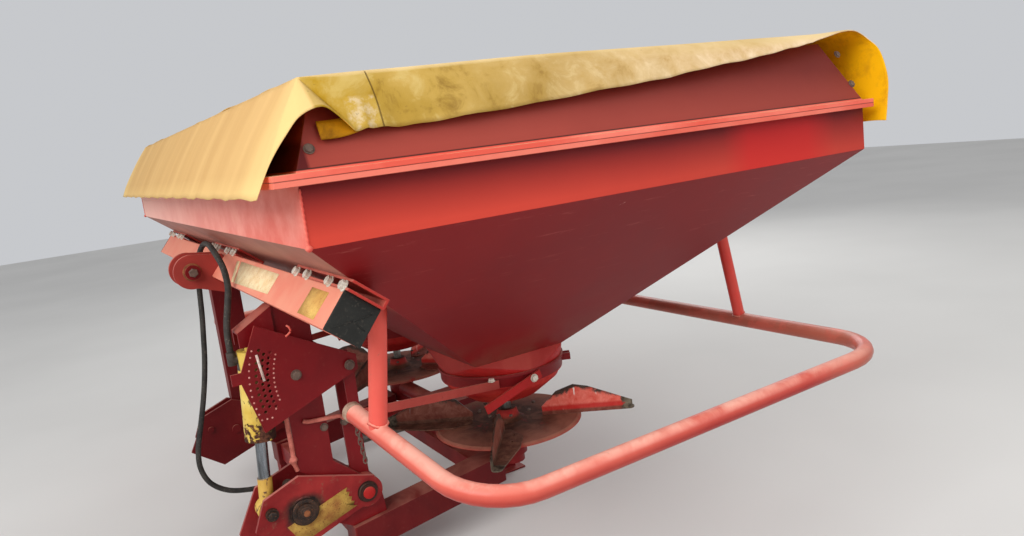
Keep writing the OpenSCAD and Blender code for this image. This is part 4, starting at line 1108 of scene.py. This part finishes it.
def metering_bolts():
    """Bolts where the flat bars and levers of the shutters turn."""
    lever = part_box("shutter_levers")[1][0] / MM
    form = Form("shutter_bolts")
    for side in (1, -1):
        add_bolt(form, (side * 566, -118, 492), (0, 0, 1), 15, 7)
        add_bolt(form, (side * lever, -8, 481), (side, 0, 0), 17, 7)
    form.piece(Finishes.zinc, slot="bare_steel", smooth=False)


def collar_bolts():
    """Flat, dull bolts at the ends of the collar's side sheets, which lean in 68 mm over 148 mm."""
    out = unit(np.array([148.0, 0, 68]))
    wall = np.array([1143.0, 0, 1122])
    lean = np.array([-68.0, 0, 148]) / 148
    form = Form("collar_bolts")
    for side in (1, -1):
        for y, z in ((-683, 1157), (-676, 1240), (700, 1163), (698, 1240)):
            place = (wall + lean * (z - 1122) + (0, y, 0)) * (side, 1, 1)
            add_bolt(form, place, out * (side, 1, 1), 14, 4)
    form.piece(Finishes.dull, slot="bare_steel", smooth=False)


def disc_fittings():
    """Eight small bolts in a ring round the middle of each disc, which turn with it."""
    bolt = [(5.5, -0.5), (5.5, 3), (4, 4.5)]
    for name, x in (("left", DISC_X), ("right", -DISC_X)):
        form = Form(f"disc_bolts_{name}")
        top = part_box(f"disc_{name}")[1][2] / MM
        for k in range(8):
            a = np.pi / 4 * (k + 0.5)
            form.lathe(bolt, (x + 82 * np.cos(a), 82 * np.sin(a), top), (0, 0, 1), 10)
        form.piece(Finishes.dull, f"{name}_rotor", "bare_steel")


bracket_bolts()
beam_labels()
cap_creases()
corner_welds()
guard_welds()
guard_ends()
quadrant_scale()
quadrant_bolts()
top_pin_head()
link_pin_parts()
stop_rod()
chain_and_clips()
metering_bolts()
collar_bolts()
disc_fittings()


def stage_set():
    """Floor, soft lamps and a pale world."""
    data = bpy.data.meshes.new("floor")
    half = 14.0
    data.from_pydata([(-half, -half, 0), (half, -half, 0), (half, half, 0), (-half, half, 0)], [],
                     [(0, 1, 2, 3)])
    f = Finish("floor")
    grey = f.mix(f.noise(0.7, 3.0, 0.5).over(0.3, 0.7), (206, 204, 200), (214, 212, 208))
    data.materials.append(f.done(grey, 0.7))
    put("floor", data)
    lamps = [("key", (2.6, -3.6, 3.6), 3.0, 190), ("fill", (4.2, 1.6, 2.6), 3.5, 60),
             ("rear", (-3.2, 3.4, 3.4), 3.0, 90)]
    for name, place, size, power in lamps:
        light = bpy.data.lights.new(name, "AREA")
        light.size = size
        light.energy = power
        aim(put(name, light), place, np.array(place) - (0, 0, 0.7), (0, 0, 1))
    world = bpy.data.worlds.new("world")
    bpy.context.scene.world = world
    world.use_nodes = True
    sky = world.node_tree.nodes["Background"].inputs
    sky[0].default_value = srgb(226, 228, 232)
    sky[1].default_value = 0.75
    bpy.context.scene.view_settings.view_transform = "Standard"


stage_set()
